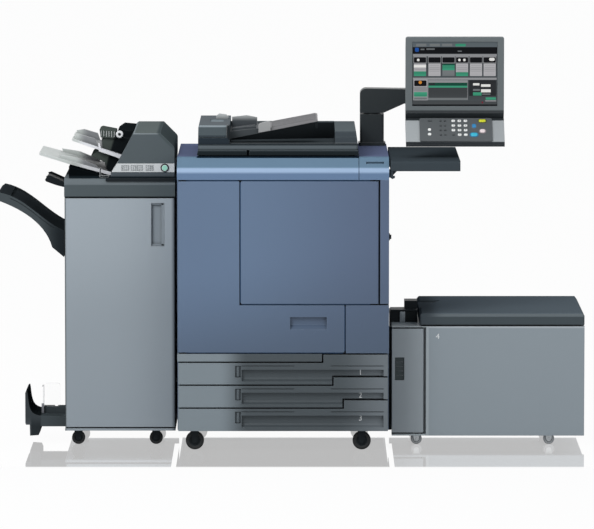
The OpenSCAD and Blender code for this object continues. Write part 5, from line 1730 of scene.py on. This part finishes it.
    def _inner_levers(self) -> None:
        """Tips the levers behind the finisher's door in green, as where jams are cleared."""
        cover, shape, turn = Box.of("finisher_inner_cover").low, Shape(), math.radians(25)
        for x, z in self.lever_places:
            at = facing_front(cover.x + x, cover.y, z)
            shape.slab((0.03, 0.03), 0.0145, 0.0015, at, 0.0005, 1)
            shape.slab((0.012, 0.05), 0.005, 0.003, at @ Matrix.Rotation(turn, 4, "Z"), 0.001)
        green = Finish("jam_lever_green", "2f8f57", "2a8450", 0.4, 40.0, 0.4, edge_radius=0.0008)
        self.shop.place("finisher_lever_tips", shape, (green, Paint.BLACK))

    def _exit_rollers(self) -> None:
        """Hangs a shaft with rubber rollers in the slot above the shift tray."""
        corner, shape, count = Box.of("finisher_housing").low, Shape(), 6
        x, y, z = corner.x + self.roller_inset, corner.y + self.exit_centre, self.exit_middle
        shape.rod((x, y, z), 0.003, self.exit_w - 0.002, 16, material=1)
        for k in range(count):
            place = y + (k - (count - 1) / 2) * self.exit_w / (count + 0.5)
            shape.rod((x, place, z), 0.0095, 0.022, 28, 0.001)
        chrome = MetalFinish("chromed_steel", "dfe2e4", 0.16, 0.08, (40.0, 300.0, 300.0))
        self.shop.place("exit_rollers", shape, (Paint.RUBBER, chrome))

    def _rear_screws(self) -> None:
        """Sets screws down both sides of the rear of the finisher and of the side feeder."""
        shape, gaps = Shape(), 3
        for box in (Box.of("finisher_housing"), Box.of("feeder_unit_housing")):
            for x in (box.low.x + self.screw_inset, box.high.x - self.screw_inset):
                for k in range(gaps + 1):
                    z = box.low.z + self.screw_ends + k * (box.size.z - 2 * self.screw_ends) / gaps
                    shape.screw((x, box.high.y, z), 0.0042, (0, 1))
        self.shop.place("unit_rear_screws", shape, (Paint.STEEL, Paint.BLACK))

    def _strip_keys(self) -> None:
        """Sets key groups and the round start button on the inserter's strip."""
        strip, shape, (along, down) = Box.of("inserter_key_strip"), Shape(), self.key_pitch
        front, middle = strip.low.y + self.button_rise, (strip.low.z + strip.high.z) / 2
        for start, columns in self.key_groups:
            for k in range(columns * 3):
                at = facing_front(start + k // 3 * along, front, middle + (k % 3 - 1) * down)
                shape.slab(self.key_size, 0.001, 0.0022, at, 0.0006)
        centre = (strip.high.x - self.button_inset, front, middle)
        for profile, materials in (
            (((0.0, 0.0), (-0.0008, 0.0115), (-0.0034, 0.0125), (-0.0036, 0.0145), (0.0, 0.0152)), (1,)),
            (((0.0, 0.0105), (-0.0042, 0.0105), (-0.005, 0.0095), (-0.0052, 0.0)), (2, 2, 3)),
        ):
            shape.revolved(profile, centre, 40, materials)
        self.shop.place("inserter_keys", shape, (
            Finish("strip_key_grey", "8b9091", "7f8485", 0.5, 60.0, 0.4, edge_radius=0.0004), Paint.BLACK,
            Finish("start_button_white", "dfeae6", "cfe2db", 0.5, 40.0, 0.3, edge_radius=0.0006),
            Finish("start_button_green", "9fd8c4", "8accb4", 0.5, 40.0, 0.3, edge_radius=0.0006),
        ))

    def _rollers(self) -> None:
        """Adds ribs on the inserter's roller boxes and the white knob of the upper rollers."""
        hood, shape = Box.of("inserter_hood"), Shape()
        left, front, top = corner = Vector((hood.low.x, hood.low.y, hood.high.z))
        knob = (
            (0.0, 0.0), (0.0, 0.0125), (-0.006, 0.0135), (-0.009, 0.0115), (-0.0095, 0.0055),
            (-0.007, 0.0045), (-0.007, 0.0),
        )
        shape.revolved(knob, corner + Vector(self.knob_place), 36, (0, 0, 0, 0, 1, 1))
        for k in range(self.rib_count):
            x, z = left + self.rib_from + k * self.rib_pitch, top - self.rib_top - k * self.rib_fall
            shape.block((x, front - 0.0016, z - self.rib_h), (x + 0.0022, front + 0.001, z), 0.0005, 1, 2)
        rib = Finish(
            "roller_rib_plastic", "5f6663", "565d5a", 0.4, 30.0, edge_highlight_share=0.0, corners=0.2, specular=0.0
        )
        self.shop.place("inserter_roller_parts", shape, (Paint.WHITE, Paint.BLACK, rib))


@dataclass
class FeederUnit:
    """The grey side feeder with its lid, door and bridge."""

    shop: Workshop
    grip_left: float = 0.011
    grip_low: float = 0.238
    grip_size: tuple[float, float] = (0.034, 0.083)
    grip_deep: float = 0.006
    grip_back: float = 0.014
    grip_slats: int = 4
    numeral_at: tuple[float, float] = (0.534, 0.397)
    numeral_h: float = 0.02
    rib_x: float = 0.044
    rib_size: tuple[float, float] = (0.02, 0.039)
    baffle_gap: float = 0.012
    seal_depth: float = 0.045
    pad_size: tuple[float, float] = (0.06, 0.16)

    def build(self) -> None:
        """Dresses the side feeder."""
        self.shop.dress({
            # Painted light: the housing is lighter above z = 0.43 m and left of x = 0.50 m, which lifts the
            # strip above the side door out of the engine's shadow and lays a highlight line along the top.
            "feeder_unit_housing": Finish(
                "side_feeder_paint", "8a949a", "868f96", 0.6, 1.6, 0.44, "b4bcc1", 0.45,
                coat_roughness=0.35, specular=0.3, **PAINTED,
                sweeps=(Sweep("a3abb0", UP, 0.4268, 0.4288), Sweep("9da6aa", LEFT, -0.503, -0.5005)),
            ),
            # Painted light: the door's grey is set a touch lighter than the housing's to offset the engine's
            # cast shadow.
            "feeder_unit_door": Finish(
                "side_door_paint_shadow_lifted", "8f979c", "8a9297", 0.6, 3.0, 0.46, "a9b1b6", 0.4, coat_roughness=0.35,
                specular=0.25, **PAINTED,
            ),
            # Painted light and shade: lighter bands along the lid's upper part as painted highlights, and a
            # darker tone towards the engine as its painted shadow.
            "feeder_unit_lid": Finish(
                "side_feeder_lid_plastic", "495155", "454d51", 0.6, 3.0, 0.55, "727b7d", 0.4, **DULL, sweeps=(
                    Sweep("656d71", UP, 0.4685, 0.4705), Sweep("5c666d", UP, 0.4785, 0.48),
                    Sweep("444b50", LEFT, -0.56, -0.49),
                ),
            ),
            "feeder_unit_lift_plate": Paint.STEEL,
            "feeder_unit_bridge": Paint.BLACK,
        })
        self._numeral()
        self._door_grip()
        self._bridge_rib()
        self._docking_seal()
        self._bin_pads()

    def _numeral(self) -> None:
        """Sets a plain numeral at the housing's upper left."""
        shape, (x, z), front = Shape(), self.numeral_at, Box.of("feeder_unit_housing").low.y
        shape.numeral("4", self.numeral_h, 0.0003, facing_front(x, front, z))
        self.shop.place("feeder_numeral", shape, (Paint.WHITE,))

    def _bridge_rib(self) -> None:
        """Faces the bridge's middle rib in grey and closes the view under the side door."""
        bridge, door, shape = Box.of("feeder_unit_bridge").low, Box.of("feeder_unit_door"), Shape()
        at = facing_front(bridge.x + self.rib_x, bridge.y, bridge.z + self.rib_size[1] / 2)
        shape.slab(self.rib_size, 0.003, 0.0016, at, 0.0012)
        low, front = door.low, door.high.y + self.baffle_gap
        high = (door.high.x + 0.014, front + 0.003, low.z + 0.02)
        shape.block((low.x + 0.05, front, low.z - 0.01), high, 0.0004, 1, 1)
        rib = Finish("bridge_rib_plastic", "8b9398", "7f878c", 0.5, 20.0, 0.45, edge_radius=0.003)
        self.shop.place("bridge_rib", shape, (rib, Paint.BLACK))

    def _docking_seal(self) -> None:
        """Closes the gap to the engine with a strip of black foam."""
        left, unit = Box.of("engine_side_panels").high.x + 0.0005, Box.of("feeder_unit_housing")
        (right, front, low), shape = unit.low, Shape()
        front += self.seal_depth
        shape.block(
            (left, front, low + 0.015), (right - 0.0005, front + 0.02, unit.high.z - 0.005), 0.002, 1
        )
        self.shop.place("docking_seal", shape, (Paint.BLACK,))

    def _bin_pads(self) -> None:
        """Lays two cork pads on the lift plate."""
        plate, shape, (width, depth) = Box.of("feeder_unit_lift_plate"), Shape(), self.pad_size
        for share in (0.25, 0.75):
            middle = Vector((plate.low.x + share * plate.size.x, plate.centre.y, plate.high.z))
            reach = Vector((width / 2, depth / 2, 0.0002))
            shape.block(middle - reach, middle + reach + Vector((0, 0, 0.0012)), 0.0005)
        self.shop.place("bin_pads", shape, (Finish(
            "cork", "a37a4e", "8a6238", 0.8, 90.0, 0.8, grain=400.0, grain_depth=0.0004, edge_highlight_share=0.0
        ),))

    def _door_grip(self) -> None:
        """Lines the side door's grip with a dark slatted plate."""
        left, front = Box.of("feeder_unit_housing").low.x + self.grip_left, Box.of("feeder_unit_door").low.y
        right, low, face = left + self.grip_size[0], self.grip_low, front + self.grip_deep
        shape, height = Shape(), self.grip_size[1]
        shape.block((left, face, low), (right, front + self.grip_back, low + height), 0.0004, 1)
        for k in range(self.grip_slats):
            z = low + height / (self.grip_slats + 1) * (k + 1)
            shape.block(
                (left + 0.004, face - 0.0025, z - 0.002), (right - 0.004, face, z + 0.002), 0.0008
            )
        plastic = Finish("side_grip_plastic", "3c4446", "434b4d", 0.5, 20.0, 0.5, specular=0.2)
        self.shop.place("side_door_grip_plate", shape, (plastic,), Body.FEEDER_DOOR)


def main() -> None:
    """Builds the stage and dresses the line, one sub-assembly after another."""
    logging.basicConfig(level=logging.INFO, format="%(message)s")
    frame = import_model()
    Studio().build()
    Effects().build()
    shop = Workshop(frame["nodes"])
    for assembly in (PrintEngine, PaperTrays, DocumentFeeder, OperatorPanel, Finisher, FeederUnit, Castors):
        assembly(shop).build()


if __name__ == "__main__":
    main()
